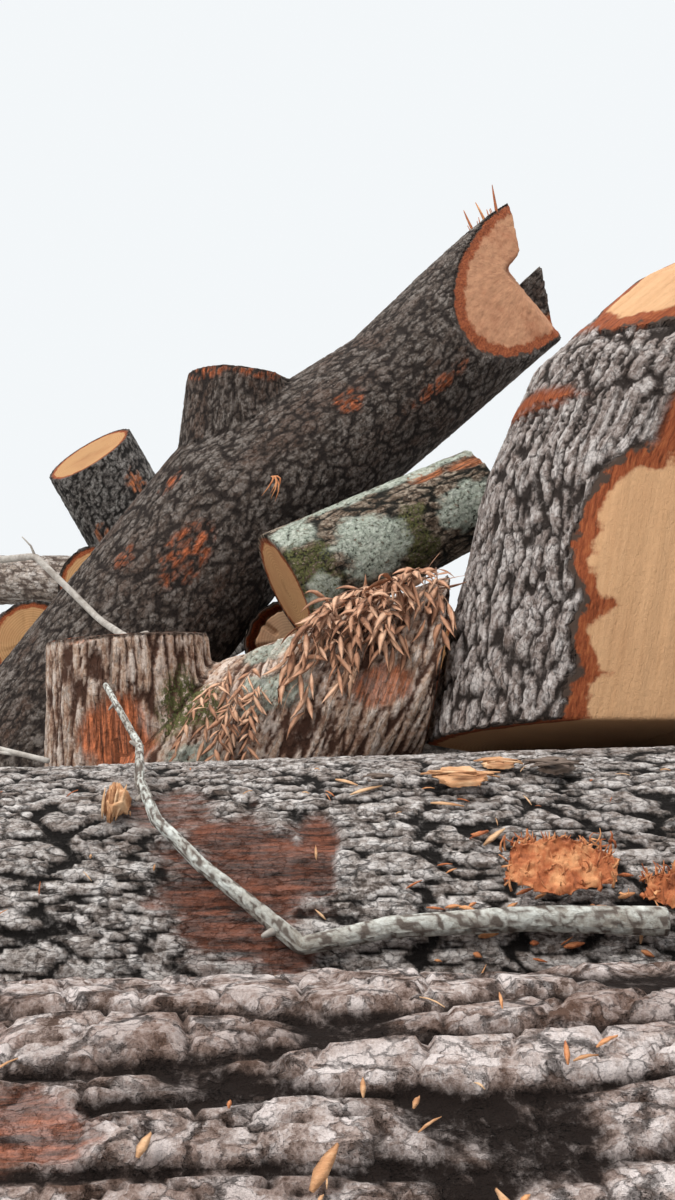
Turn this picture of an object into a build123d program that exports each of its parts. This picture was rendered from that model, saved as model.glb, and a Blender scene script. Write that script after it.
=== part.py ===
from build123d import *
from dataclasses import dataclass
import math
import os
import numpy as np

# A heap of saw logs, short bolts and storm-broken tops, thrown down on level ground.
# Millimetres, +Z up, X along the front log (right is the thick end), +Y to the back of the heap.
# Six saw logs and the foot of the crotch log lie on the ground, pushed together. What lies on them is
# set down in order, each piece lowered until it meets what carries it.

# Clearances and facets
REST_GAP = 0.4          # left between two pieces that touch
FACET_SIZE = 0.1        # of an edge's length
FACET_ANGLE = 0.05      # radians that facets may turn, where pieces meet
THIN_FACET_ANGLE = 0.4  # the same for a thin branch

# Section of a stem: nearly round, a little oval and three-lobed
OUTLINE_POINTS = 8
OVAL = 0.018
LOBES = 0.010

# Front log, an 8 ft saw log with trim
FRONT_LENGTH = 2520.0
FRONT_LEFT_END = -1300.0
FRONT_TOP_DIAMETER = 637.0
FRONT_BUTT_DIAMETER = 707.0
FRONT_BOW = 10.0

# Second log, a 10 ft saw log with trim, behind the front log
SECOND_LENGTH = 3120.0
SECOND_LEFT_END = -1450.0
SECOND_TOP_DIAMETER = 728.0
SECOND_BUTT_DIAMETER = 830.0
SECOND_BOW = -12.0

# Third log, under the big butt
THIRD_LENGTH = 1860.0
THIRD_LEFT_END = 330.0
THIRD_TOP_DIAMETER = 660.0
THIRD_BUTT_DIAMETER = 690.0

# Fourth log, lying askew behind the third
FOURTH_LENGTH = 2500.0
FOURTH_LEFT_END = -390.0
FOURTH_LEFT_DIAMETER = 820.0
FOURTH_RIGHT_DIAMETER = 760.0
FOURTH_YAW = 14.0

# Fifth and sixth logs, the back rows
FIFTH_LENGTH = 2500.0
FIFTH_LEFT_END = -1750.0
FIFTH_LEFT_DIAMETER = 790.0
FIFTH_RIGHT_DIAMETER = 820.0
FIFTH_YAW = 4.0
SIXTH_LENGTH = 2520.0
SIXTH_LEFT_END = -1500.0
SIXTH_LEFT_DIAMETER = 750.0
SIXTH_RIGHT_DIAMETER = 720.0
SIXTH_YAW = 0.0

# Crotch log, a stem that stands behind the second log and an arm that leans to the right
CROTCH_STEM_X = -490.0
CROTCH_STEM_HEIGHT = 960.0
CROTCH_STEM_BULGE = 15.0       # to the right, at the fork
CROTCH_TOP_SHIFT = (-10.0, 20.0)
CROTCH_FOOT_DIAMETER = 410.0
CROTCH_TOP_DIAMETER = 380.0
CROTCH_FORK_HEIGHT = 595.0
CROTCH_ARM_LENGTH = 752.0
CROTCH_ARM_FOOT = (30.0, 10.0)  # of its axis, right of and behind the stem's foot
CROTCH_ARM_OVERRUN = 1.3       # length to which it is lofted before it is cut, as a share of its own
CROTCH_ARM_LEAN = 22.0
CROTCH_ARM_YAW = 8.0
CROTCH_ARM_DIAMETER = 460.0
CROTCH_ARM_END_DIAMETER = 420.0
CROTCH_ARM_CUT_LEAN = 79.0     # its far end is sawn askew, along the flank of the butt log

# Checked log, whose end shows drying checks and a loose ring of bark
CHECKED_LENGTH = 1250.0
CHECKED_DIAMETER = 300.0
CHECKED_X = -147.0
CHECKED_SETBACK = 110.0        # of its front face, in front of the fourth log's axis
CHECKED_BARK = 13.0            # thickness of the loose ring of bark
CHECKED_GAP = 22.0             # widest gap between the bark and the wood
CHECKED_GAP_DEPTH = 90.0

# Prop log, hidden under the lichen log
PROP_LENGTH = 1550.0
PROP_DIAMETER = 300.0
PROP_X = 200.0
PROP_SETBACK = 470.0

# Lichen log, a short bolt that leans up to the right
LICHEN_LENGTH = 680.0
LICHEN_LEFT_DIAMETER = 345.0
LICHEN_RIGHT_DIAMETER = 290.0
LICHEN_FACE_X = -150.0
LICHEN_FACE_SETBACK = 360.0    # in front of the fourth log's axis
LICHEN_LEAN = 26.0
LICHEN_YAW = 14.0
LICHEN_BOW = 12.0

# Forked trunk, the long dark stem
TRUNK_FOOT_X = -1225.0
TRUNK_SETBACK = 20.0           # of its foot, behind the fourth log's axis
TRUNK_LOWER_LENGTH = 1475.0
TRUNK_UPPER_LENGTH = 1450.0
TRUNK_LOWER_LEAN = 53.0
TRUNK_UPPER_LEANS = [38.0, 37.5, 43.5, 42.5]
TRUNK_YAW = 12.0
TRUNK_FOOT_DIAMETER = 600.0
TRUNK_FORK_DIAMETER = 590.0
TRUNK_UPPER_DIAMETERS = [540.0, 500.0, 528.0, 545.0]
LIMB_LENGTH = 590.0
LIMB_DIAMETER = 370.0
LIMB_FOOT_DIAMETER = 425.0
LIMB_LEAN = 86.0
LIMB_SINK = 118.0              # of its foot, under the trunk's axis
LIMB_SHIFT = 20.0              # of its foot, to the left of the fork

# Butt log, the big curved one with a rip-sawn face
BUTT_X = 570.0
BUTT_SETBACK = 600.0           # of its base, behind the second log's axis
BUTT_BASE_DIAMETER = 980.0
BUTT_MIDDLE_DIAMETER = 900.0
BUTT_END_DIAMETER = 840.0
BUTT_STEP = 155.0              # length of each of its bends
BUTT_LEAN_BACK = 5.0           # degrees that the whole piece leans away
BUTT_BASE_TILT = 14.0          # degrees that its base is sawn askew
BUTT_BASE_TRIM = 90.0          # length that the saw takes off its base, on the axis
BUTT_LEANS = [79.0, 78.0, 78.0, 80.0, 70.0, 40.0, 27.0, 20.0, 14.0, 10.0]
BUTT_RIP_DEPTH = 100.0         # greatest depth of the slab that was ripped off

# Left bolts, on the back rows
LEFT_NEAR_LENGTH = 1250.0
LEFT_NEAR_DIAMETER = 345.0
LEFT_NEAR_X = -1205.0
LEFT_NEAR_SETBACK = 320.0      # of its face, in front of the fifth log's axis
LEFT_MIDDLE_LENGTH = 460.0
LEFT_MIDDLE_DIAMETER = 330.0
LEFT_MIDDLE_X = -960.0
LEFT_MIDDLE_SETBACK = 300.0
LEFT_MIDDLE_YAW = 86.0
LEFT_FAR_LENGTH = 1250.0
LEFT_FAR_DIAMETER = 240.0
LEFT_FAR_RIGHT_END = -1150.0
LEFT_FAR_BEHIND = 330.0        # behind the fifth log's axis

# Standing bolt at the back, its foot in the valley between the fifth and sixth logs
STUB_LENGTH = 1310.0
STUB_DIAMETER = 460.0
STUB_LEAN = 60.0
STUB_YAW = 184.0
STUB_FOOT_X = -600.0
STUB_BEHIND = 430.0            # behind the fifth log's axis
STUB_SLANT = 27.0              # degrees that its top is cut askew, towards the front

# Broken end of the trunk: a slab was ripped off its near side, the rest was sawn across askew, and two
# prongs stand past the saw cut. Their outlines are seen from the near side, as length past the end of
# the spine and height over its axis.
TRUNK_RIP_DEPTH = 262.0        # from the bark to the ripped face, at the end of the spine
TRUNK_RIP_RISE = -5.0          # degrees that the ripped face looks up
TRUNK_RIP_TAPER = 26.0         # degrees that it runs in towards the end
TRUNK_END_SETBACK = 65.0       # of the saw cut, before the end of the spine
TRUNK_END_SKEW = 35.0          # degrees that the saw cut turns to the near side
TRUNK_PRONG_REACH = 190.0      # length past the end of the spine that the prongs may have
TRUNK_PRONG_SHARE = 0.985      # their roundness as a share of the trunk's diameter
TOP_PRONG = [(-330.0, 290.0), (130.0, 290.0), (150.0, 262.0), (131.0, 215.0), (66.0, 128.0), (34.0, 88.0),
             (0.0, 74.0), (-330.0, 74.0)]
TOP_PRONG_DEPTHS = (-200.0, 120.0)
FAR_PRONG = [(-200.0, 3.0), (166.0, 2.0), (38.0, -210.0), (-200.0, -210.0)]
FAR_PRONG_DEPTHS = (-290.0, -150.0)

# Fallen branch: where it crosses the second log, as x and degrees around the log from its front
BRANCH_BUTT_DIAMETER = 46.0
BRANCH_TIP_DIAMETER = 12.0
BRANCH_ROUTE = [(430.0, 27.0), (250.0, 28.0), (70.0, 27.0), (-48.0, 24.0), (-190.0, 40.0), (-263.0, 51.0),
                (-305.0, 64.0), (-338.0, 87.0)]
BRANCH_STATIONS = 22
BRANCH_TIP_RISE = 85.0         # of its tip, above the top of the second log
BRANCH_CLEARANCE = 10.0        # between its tip and the crotch log

# Loose pieces on the second log: size, place along the log, and degrees around it from its front
WEDGE_SIZE = (50.0, 90.0, 26.0)
WEDGE_PLACE = (-331.0, 61.0)
CHIP_SIZES = [(112.0, 62.0, 11.0), (74.0, 52.0, 9.0), (96.0, 60.0, 13.0), (52.0, 20.0, 6.0),
              (64.0, 12.0, 5.0)]
CHIP_PLACES = [(184.0, 66.0), (256.0, 74.0), (345.0, 70.0), (74.0, 68.0), (222.0, 49.0)]
CHIP_TURNS = [-23.0, -6.0, 11.0, 28.0, 45.0]
SLAB_SIZES = [(176.0, 98.0, 15.0), (128.0, 66.0, 13.0)]
SLAB_PLACES = [(302.0, 39.0), (470.0, 36.0)]
SLAB_TURNS = [3.0, -3.0]
WEDGE_TURN = 8.0
SPLINTER_TAPER = 18.0          # degrees that the edges of such a piece slant
SPLINTER_LIFT = 60.0           # height over the bark from which it is let down
SPLINTER_OUTLINE = [(-0.50, -0.22), (-0.12, -0.50), (0.42, -0.30), (0.50, 0.12), (0.08, 0.50), (-0.38, 0.36)]


def heading(lean, yaw):
    """Unit vector that rises lean degrees from the floor and turns yaw degrees from +X towards +Y."""
    rise, turn = math.radians(lean), math.radians(yaw)
    return Vector(math.cos(rise) * math.cos(turn), math.cos(rise) * math.sin(turn), math.sin(rise))


def straight(start, length, lean, yaw, bow=0.0, stations=4):
    """Spine points of a stem with a slight sideways bow."""
    along, across = heading(lean, yaw), heading(0, yaw + 90)
    parts = [index / (stations - 1) for index in range(stations)]
    return [start + along * (length * t) + across * (bow * math.sin(math.pi * t)) for t in parts]


def bent(start, steps):
    """Spine points that follow steps of (length, lean, yaw)."""
    spine = [start]
    for length, lean, yaw in steps:
        spine.append(spine[-1] + heading(lean, yaw) * length)
    return spine


def taper(first, last, stations=4):
    """Evenly spaced diameters from first to last."""
    return [first + (last - first) * index / (stations - 1) for index in range(stations)]


def stem(spine, diameters, side=Vector(0, 0, 1), mode=Mode.ADD):
    """Loft nearly round sections square to the spine into the part that is being built.

    The sections are a little narrower towards side than across it.
    """
    sections = []
    for index, (point, diameter) in enumerate(zip(spine, diameters)):
        tangent = (spine[min(index + 1, len(spine) - 1)] - spine[max(index - 1, 0)]).normalized()
        across = (side - tangent * side.dot(tangent)).normalized()
        outline = []
        for corner in range(OUTLINE_POINTS):
            angle = 2 * math.pi * corner / OUTLINE_POINTS
            swell = 1 - OVAL * math.cos(2 * angle) + LOBES * math.cos(3 * angle)
            outline.append((diameter / 2 * swell * math.cos(angle), diameter / 2 * swell * math.sin(angle)))
        with BuildSketch(Plane(origin=point, x_dir=across, z_dir=tangent)) as section:
            with BuildLine():
                Spline(*outline, periodic=True)
            make_face()
        sections.append(section.sketch.face())
    loft(sections=sections, ruled=True, mode=mode)


def facets(part, angle=FACET_ANGLE):
    """The part's surface as an array of triangles."""
    corners, triangles = part.tessellate(FACET_SIZE, angle)
    points = np.array([(corner.X, corner.Y, corner.Z) for corner in corners])
    return points[np.array(triangles)]


def facing(triangles, sign):
    """The triangles that look up (sign 1) or down (sign -1) along the third axis."""
    edges = triangles[:, 1:] - triangles[:, :1]
    height = edges[:, 0, 0] * edges[:, 1, 1] - edges[:, 0, 1] * edges[:, 1, 0]
    return triangles[height * sign > 1e-9]


def crossed(a, b):
    """Cross product of plane vectors."""
    return a[..., 0] * b[..., 1] - a[..., 1] * b[..., 0]


def heights_inside(points, triangles):
    """Height of each triangle at its own point, and whether the point lies inside it."""
    first, second, third = triangles[:, 0], triangles[:, 1], triangles[:, 2]
    area = crossed(second[:, :2] - first[:, :2], third[:, :2] - first[:, :2])
    to_second = crossed(points - first[:, :2], third[:, :2] - first[:, :2]) / area
    to_third = crossed(second[:, :2] - first[:, :2], points - first[:, :2]) / area
    inside = (to_second >= 0) & (to_third >= 0) & (to_second + to_third <= 1)
    height = first[:, 2] + to_second * (second[:, 2] - first[:, 2]) + to_third * (third[:, 2] - first[:, 2])
    return height, inside


def pair_gap(upper, lower):
    """Smallest height between triangle pairs that overlap in plan, or infinity."""
    gaps = [math.inf]
    for corner in range(3):
        height, inside = heights_inside(upper[:, corner, :2], lower)
        gaps.append(np.min((upper[:, corner, 2] - height)[inside], initial=math.inf))
        height, inside = heights_inside(lower[:, corner, :2], upper)
        gaps.append(np.min((height - lower[:, corner, 2])[inside], initial=math.inf))
    for one in range(3):
        start, run = upper[:, one], upper[:, (one + 1) % 3] - upper[:, one]
        for other in range(3):
            foot, reach = lower[:, other], lower[:, (other + 1) % 3] - lower[:, other]
            turn = crossed(run, reach)
            turn = np.where(np.abs(turn) < 1e-9, np.nan, turn)
            along = crossed(foot - start, reach) / turn
            across = crossed(foot - start, run) / turn
            meet = (along >= 0) & (along <= 1) & (across >= 0) & (across <= 1)
            height = start[:, 2] + along * run[:, 2] - foot[:, 2] - across * reach[:, 2]
            gaps.append(np.min(height[meet], initial=math.inf))
    return min(gaps)


def free_travel(mover, standing, direction):
    """How far mover goes along direction before it meets standing, or infinity."""
    back = -np.array(tuple(direction))
    side = np.cross(back, [1.0, 0.0, 0.0])
    axes = np.stack([side, np.cross(back, side), back], axis=1)
    upper, lower = facing(mover @ axes, -1), facing(standing @ axes, 1)
    for _ in range(2):
        for one, other in (("upper", "lower"), ("lower", "upper")):
            mine, theirs = (upper, lower) if one == "upper" else (lower, upper)
            if not len(mine) or not len(theirs):
                return math.inf
            low, high = theirs[:, :, :2].min(axis=(0, 1)), theirs[:, :, :2].max(axis=(0, 1))
            near = np.all((mine[:, :, :2].min(axis=1) <= high) & (mine[:, :, :2].max(axis=1) >= low), axis=1)
            mine = mine[near]
            upper, lower = (mine, theirs) if one == "upper" else (theirs, mine)
    best = math.inf
    lower_low, lower_high = lower.min(axis=1), lower.max(axis=1)
    order = np.argsort(upper[:, :, 0].min(axis=1))
    for start in range(0, len(order), 200):
        batch = upper[order[start:start + 200]]
        low, high = batch.min(axis=1), batch.max(axis=1)
        near = np.all(lower_low[:, :2] <= high.max(axis=0)[:2], axis=1)
        near &= np.all(lower_high[:, :2] >= low.min(axis=0)[:2], axis=1)
        near &= low[:, 2].min() - lower_high[:, 2] < best
        some, some_low, some_high = lower[near], lower_low[near], lower_high[near]
        overlap = np.all(low[:, None, :2] <= some_high[None, :, :2], axis=2)
        overlap &= np.all(high[:, None, :2] >= some_low[None, :, :2], axis=2)
        overlap &= low[:, 2][:, None] - some_high[None, :, 2] < best
        one, other = np.nonzero(overlap)
        if len(one):
            best = min(best, pair_gap(batch[one], some[other]))
    return best


class Heap:
    """The pieces that lie in their places, with the facets that the next ones meet."""

    def __init__(self):
        self.parts = {}
        self.facets = {}

    def travel(self, piece, direction, angle):
        """Free travel of a piece to the nearest of the pieces that lie there."""
        mesh = facets(piece, angle)
        reach = [free_travel(mesh, placed, direction) for placed in self.facets.values()]
        if direction.Z < 0:
            reach.append(mesh[:, :, 2].min() + REST_GAP)
        return min(reach, default=math.inf)

    def slide(self, piece, direction, angle=FACET_ANGLE):
        """The piece moved along direction to the heap or the floor, or left where nothing is in its way."""
        way = self.travel(piece, direction, angle)
        return piece if way == math.inf else piece.moved(Location(direction * (way - REST_GAP)))

    def add(self, label, piece, angle=FACET_ANGLE):
        """Leave the piece where it is, under its name."""
        piece.label = label
        self.parts[label] = piece
        self.facets[label] = facets(piece, angle)


DOWN = Vector(0, 0, -1)
FORWARD = Vector(0, -1, 0)
ROW_SPACING = 1200.0    # between ground logs before they are pushed together
ABOVE = 2500.0          # height from which a piece is let down
heap = Heap()


@dataclass
class GroundLog:
    """A saw log on the ground: the left end of its axis, its length, end diameters, yaw and lean."""

    start: Vector
    length: float
    left_diameter: float
    right_diameter: float
    yaw: float
    lean: float

    def axis(self, x):
        """The point of its axis at x."""
        run = x - self.start.X
        across = math.tan(math.radians(self.yaw))
        climb = math.tan(math.radians(self.lean)) / math.cos(math.radians(self.yaw))
        return self.start + Vector(run, run * across, run * climb)

    def radius(self, x):
        """Its mean radius at x."""
        share = (x - self.start.X) / self.length
        return (self.left_diameter + (self.right_diameter - self.left_diameter) * share) / 2

    def surface(self, x, around, lift=0.0):
        """A plane on its bark at x, degrees around it from the front, facing outwards."""
        angle = math.radians(around)
        out = Vector(0, -math.cos(angle), math.sin(angle))
        return Plane(origin=self.axis(x) + out * (self.radius(x) + lift), x_dir=(1, 0, 0), z_dir=out)


def lay_ground_log(label, left_end, length, left_diameter, right_diameter, yaw=0.0, bow=0.0):
    """Lay a saw log on the ground, level along its underside, and push it against the rows in front."""
    underside = 1 - OVAL - LOBES
    lean = math.degrees(math.atan((right_diameter - left_diameter) / 2 * underside / length))
    start = Vector(left_end, ROW_SPACING * len(heap.parts), 0)
    with BuildPart() as log:
        stem(straight(start, length, lean, yaw, bow), taper(left_diameter, right_diameter))
    laid = heap.slide(heap.slide(log.part, DOWN), FORWARD)
    heap.add(label, laid)
    return GroundLog(start + laid.position, length, left_diameter, right_diameter, yaw, lean)


lay_ground_log("front_log", FRONT_LEFT_END, FRONT_LENGTH, FRONT_TOP_DIAMETER, FRONT_BUTT_DIAMETER,
               bow=FRONT_BOW)
second = lay_ground_log("second_log", SECOND_LEFT_END, SECOND_LENGTH, SECOND_TOP_DIAMETER,
                        SECOND_BUTT_DIAMETER, bow=SECOND_BOW)
lay_ground_log("third_log", THIRD_LEFT_END, THIRD_LENGTH, THIRD_TOP_DIAMETER, THIRD_BUTT_DIAMETER)

# Crotch log
with BuildPart() as crotch_log:
    foot = Vector(CROTCH_STEM_X, second.axis(CROTCH_STEM_X).Y + ROW_SPACING, 0)
    fork = foot + Vector(CROTCH_STEM_BULGE, 0, CROTCH_FORK_HEIGHT)
    stem([foot, fork, foot + Vector(*CROTCH_TOP_SHIFT, CROTCH_STEM_HEIGHT)],
         [CROTCH_FOOT_DIAMETER, CROTCH_FOOT_DIAMETER, CROTCH_TOP_DIAMETER], side=Vector(0, 1, 0))
    arm_start = foot + Vector(*CROTCH_ARM_FOOT, CROTCH_FORK_HEIGHT)
    arm_spine = straight(arm_start, CROTCH_ARM_LENGTH * CROTCH_ARM_OVERRUN, CROTCH_ARM_LEAN, CROTCH_ARM_YAW,
                         stations=3)
    stem(arm_spine, taper(CROTCH_ARM_DIAMETER, CROTCH_ARM_END_DIAMETER, 3))
    arm_end = arm_start + heading(CROTCH_ARM_LEAN, CROTCH_ARM_YAW) * CROTCH_ARM_LENGTH
    split(bisect_by=Plane(origin=arm_end, z_dir=heading(CROTCH_ARM_CUT_LEAN - 90, 0)), keep=Keep.BOTTOM)
heap.add("crotch_log", heap.slide(heap.slide(crotch_log.part, DOWN), FORWARD))

fourth = lay_ground_log("fourth_log", FOURTH_LEFT_END, FOURTH_LENGTH, FOURTH_LEFT_DIAMETER,
                        FOURTH_RIGHT_DIAMETER, yaw=FOURTH_YAW)
fifth = lay_ground_log("fifth_log", FIFTH_LEFT_END, FIFTH_LENGTH, FIFTH_LEFT_DIAMETER,
                       FIFTH_RIGHT_DIAMETER, yaw=FIFTH_YAW)
lay_ground_log("sixth_log", SIXTH_LEFT_END, SIXTH_LENGTH, SIXTH_LEFT_DIAMETER, SIXTH_RIGHT_DIAMETER,
               yaw=SIXTH_YAW)

# Checked log
with BuildPart() as checked_log:
    face_y = fourth.axis(CHECKED_X).Y - CHECKED_SETBACK
    face = Vector(CHECKED_X, face_y, ABOVE)
    stem(straight(face, CHECKED_LENGTH, 0, 90, stations=2), taper(CHECKED_DIAMETER, CHECKED_DIAMETER, 2))
    wood_radius = CHECKED_DIAMETER / 2 - CHECKED_BARK
    with BuildSketch(Plane(origin=face, x_dir=(1, 0, 0), z_dir=FORWARD)):
        Circle(wood_radius)
        with Locations((CHECKED_GAP / 2, -CHECKED_GAP / 3)):
            Circle(wood_radius - CHECKED_GAP / 2, mode=Mode.SUBTRACT)
    extrude(amount=-CHECKED_GAP_DEPTH, mode=Mode.SUBTRACT)
heap.add("checked_log", heap.slide(checked_log.part, DOWN))

# Prop log
with BuildPart() as prop_log:
    face_y = fourth.axis(PROP_X).Y - PROP_SETBACK
    stem(straight(Vector(PROP_X, face_y, ABOVE), PROP_LENGTH, 0, 90, stations=2),
         taper(PROP_DIAMETER, PROP_DIAMETER, 2))
heap.add("prop_log", heap.slide(prop_log.part, DOWN))

# Lichen log
with BuildPart() as lichen_log:
    face = Vector(LICHEN_FACE_X, fourth.axis(LICHEN_FACE_X).Y - LICHEN_FACE_SETBACK, ABOVE)
    stem(straight(face, LICHEN_LENGTH, LICHEN_LEAN, LICHEN_YAW, LICHEN_BOW, stations=4),
         taper(LICHEN_LEFT_DIAMETER, LICHEN_RIGHT_DIAMETER))
heap.add("lichen_log", heap.slide(lichen_log.part, DOWN))

# Forked trunk
foot = Vector(TRUNK_FOOT_X, fourth.axis(FOURTH_LEFT_END).Y + TRUNK_SETBACK, ABOVE)
lower = [(TRUNK_LOWER_LENGTH / 3, TRUNK_LOWER_LEAN, TRUNK_YAW)] * 3
upper = [(TRUNK_UPPER_LENGTH / 4, lean, TRUNK_YAW) for lean in TRUNK_UPPER_LEANS]
trunk_spine = bent(foot, lower + upper)
trunk_end = trunk_spine[-1]
along = heading(TRUNK_UPPER_LEANS[-1], TRUNK_YAW)
near_side = heading(0, TRUNK_YAW - 90)
upright = near_side.cross(along)


def prong(outline, depths):
    """A prong of the trunk's broken end: its outline within the trunk's round, between two depths."""
    far, near = depths
    tip_spine = [trunk_spine[-2], trunk_end, trunk_end + along * TRUNK_PRONG_REACH]
    diameters = [diameter * TRUNK_PRONG_SHARE for diameter in TRUNK_UPPER_DIAMETERS[-2:]]
    with BuildPart() as piece:
        stem(tip_spine, diameters + diameters[-1:])
        with BuildSketch(Plane(origin=trunk_end + near_side * near, x_dir=along, z_dir=near_side)):
            with BuildLine():
                Polyline(*outline, close=True)
            make_face()
        extrude(amount=far - near, mode=Mode.INTERSECT)
    return piece.part


with BuildPart() as forked_trunk:
    stem(trunk_spine, taper(TRUNK_FOOT_DIAMETER, TRUNK_FORK_DIAMETER, 4) + TRUNK_UPPER_DIAMETERS)
    limb_start = trunk_spine[3] - Vector(LIMB_SHIFT, 0, LIMB_SINK)
    stem(straight(limb_start, LIMB_LENGTH, LIMB_LEAN, TRUNK_YAW, stations=2),
         taper(LIMB_FOOT_DIAMETER, LIMB_DIAMETER, 2), side=Vector(0, 1, 0))
    skew = math.radians(TRUNK_END_SKEW)
    saw_cut = Plane(origin=trunk_end - along * TRUNK_END_SETBACK,
                    z_dir=along * math.cos(skew) + near_side * math.sin(skew))
    split(bisect_by=saw_cut, keep=Keep.BOTTOM)
    add(prong(TOP_PRONG, TOP_PRONG_DEPTHS))
    add(prong(FAR_PRONG, FAR_PRONG_DEPTHS))
    rise, slip = math.radians(TRUNK_RIP_RISE), math.radians(TRUNK_RIP_TAPER)
    rip_out = near_side * math.cos(rise) + upright * math.sin(rise)
    rip_face = Plane(origin=trunk_end + rip_out * (TRUNK_UPPER_DIAMETERS[-1] / 2 - TRUNK_RIP_DEPTH),
                     z_dir=rip_out * math.cos(slip) + along * math.sin(slip))
    split(bisect_by=rip_face, keep=Keep.BOTTOM)
heap.add("forked_trunk", heap.slide(forked_trunk.part, DOWN))

# Butt log
let_down = heading(-BUTT_LEANS[0], 180)
with BuildPart() as butt_log:
    base = Vector(BUTT_X, second.axis(BUTT_X).Y + BUTT_SETBACK, 0) - let_down * ABOVE
    away = math.radians(BUTT_LEAN_BACK)
    butt_spine = [base]
    for lean in BUTT_LEANS:
        rise = math.sin(math.radians(lean))
        step = Vector(math.cos(math.radians(lean)), rise * math.sin(away), rise * math.cos(away))
        butt_spine.append(butt_spine[-1] + step * BUTT_STEP)
    stem(butt_spine, taper(BUTT_BASE_DIAMETER, BUTT_MIDDLE_DIAMETER, 6)
         + taper(BUTT_MIDDLE_DIAMETER, BUTT_END_DIAMETER, 6)[1:], side=Vector(0, 1, 0))
    face_out = Vector(0, -math.cos(away), math.sin(away))
    rip = Plane(origin=base + face_out * (BUTT_BASE_DIAMETER / 2 - BUTT_RIP_DEPTH), z_dir=face_out)
    split(bisect_by=rip, keep=Keep.BOTTOM)
    tilt = math.radians(BUTT_BASE_TILT)
    end_cut = Plane(origin=base + Vector(0, 0, BUTT_BASE_TRIM),
                    z_dir=Vector(0, math.sin(tilt), math.cos(tilt)))
    split(bisect_by=end_cut, keep=Keep.TOP)
heap.add("butt_log", heap.slide(butt_log.part, let_down))

# Left bolts
with BuildPart() as left_near_log:
    face = Vector(LEFT_NEAR_X, fifth.axis(LEFT_NEAR_X).Y - LEFT_NEAR_SETBACK, ABOVE)
    stem(straight(face, LEFT_NEAR_LENGTH, 0, 90, stations=2),
         taper(LEFT_NEAR_DIAMETER, LEFT_NEAR_DIAMETER, 2))
heap.add("left_near_log", heap.slide(left_near_log.part, DOWN))

with BuildPart() as left_middle_log:
    face = Vector(LEFT_MIDDLE_X, fifth.axis(LEFT_MIDDLE_X).Y - LEFT_MIDDLE_SETBACK, ABOVE)
    stem(straight(face, LEFT_MIDDLE_LENGTH, 0, LEFT_MIDDLE_YAW, stations=2),
         taper(LEFT_MIDDLE_DIAMETER, LEFT_MIDDLE_DIAMETER, 2))
heap.add("left_middle_log", heap.slide(left_middle_log.part, DOWN))

with BuildPart() as left_far_log:
    far_y = fifth.axis(LEFT_NEAR_X).Y + LEFT_FAR_BEHIND
    stem(straight(Vector(LEFT_FAR_RIGHT_END, far_y, ABOVE), LEFT_FAR_LENGTH, 0, 180, stations=2),
         taper(LEFT_FAR_DIAMETER, LEFT_FAR_DIAMETER, 2))
heap.add("left_far_log", heap.slide(left_far_log.part, DOWN))

# Standing bolt
with BuildPart() as standing_bolt:
    foot = Vector(STUB_FOOT_X, fifth.axis(STUB_FOOT_X).Y + STUB_BEHIND, ABOVE)
    stub_spine = straight(foot, STUB_LENGTH, STUB_LEAN, STUB_YAW, stations=2)
    stem(stub_spine, taper(STUB_DIAMETER, STUB_DIAMETER, 2))
    slant = math.radians(STUB_SLANT)
    stub_axis = heading(STUB_LEAN, STUB_YAW)
    top_cut = Plane(origin=stub_spine[1] - stub_axis * (STUB_DIAMETER / 2 * math.tan(slant)),
                    z_dir=stub_axis * math.cos(slant) + FORWARD * math.sin(slant))
    split(bisect_by=top_cut, keep=Keep.BOTTOM)
heap.add("standing_bolt", heap.slide(standing_bolt.part, DOWN))

# Fallen branch: along the second log's front, over its top and up past the crotch log
with BuildPart() as long_branch:
    route = np.array(BRANCH_ROUTE)
    marks = np.linspace(0, len(route) - 1, BRANCH_STATIONS)
    places = [np.interp(marks, range(len(route)), column) for column in route.T]
    thickness = taper(BRANCH_BUTT_DIAMETER, BRANCH_TIP_DIAMETER, BRANCH_STATIONS + 1)
    branch_spine = [second.surface(x, around, width / 2).origin
                    for x, around, width in zip(*places, thickness)]
    crotch_front = heap.parts["crotch_log"].bounding_box().min.Y
    branch_spine.append(Vector(CROTCH_STEM_X, crotch_front - BRANCH_CLEARANCE,
                               branch_spine[-1].Z + BRANCH_TIP_RISE))
    stem(branch_spine, thickness, side=Vector(0, 1, 0.3))
heap.add("long_branch", heap.slide(long_branch.part, DOWN, THIN_FACET_ANGLE), THIN_FACET_ANGLE)


def splinter(log, place, size, turn):
    """A broken flake of wood or bark, flat on a log, thinner towards its edges."""
    length, width, thickness = size
    seat = log.surface(*place, lift=SPLINTER_LIFT).rotated((0, 0, turn))
    with BuildPart() as flake:
        with BuildSketch(seat):
            with BuildLine():
                Polyline(*[(x * length, y * width) for x, y in SPLINTER_OUTLINE], close=True)
            make_face()
        extrude(amount=thickness, taper=SPLINTER_TAPER)
    return heap.slide(flake.part, seat.z_dir * -1)


heap.add("wood_wedge", splinter(second, WEDGE_PLACE, WEDGE_SIZE, WEDGE_TURN))
for number, (place, size, turn) in enumerate(zip(CHIP_PLACES, CHIP_SIZES, CHIP_TURNS), start=1):
    heap.add(f"wood_chip_{number}", splinter(second, place, size, turn))
for number, (place, size, turn) in enumerate(zip(SLAB_PLACES, SLAB_SIZES, SLAB_TURNS), start=1):
    heap.add(f"bark_slab_{number}", splinter(second, place, size, turn))

# The origin goes under the middle of the heap, on the ground
corners = np.array([[tuple(part.bounding_box().min), tuple(part.bounding_box().max)]
                    for part in heap.parts.values()])
lowest, highest = corners[:, 0].min(axis=0), corners[:, 1].max(axis=0)
middle = Vector((lowest[0] + highest[0]) / 2, (lowest[1] + highest[1]) / 2, 0)

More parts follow.
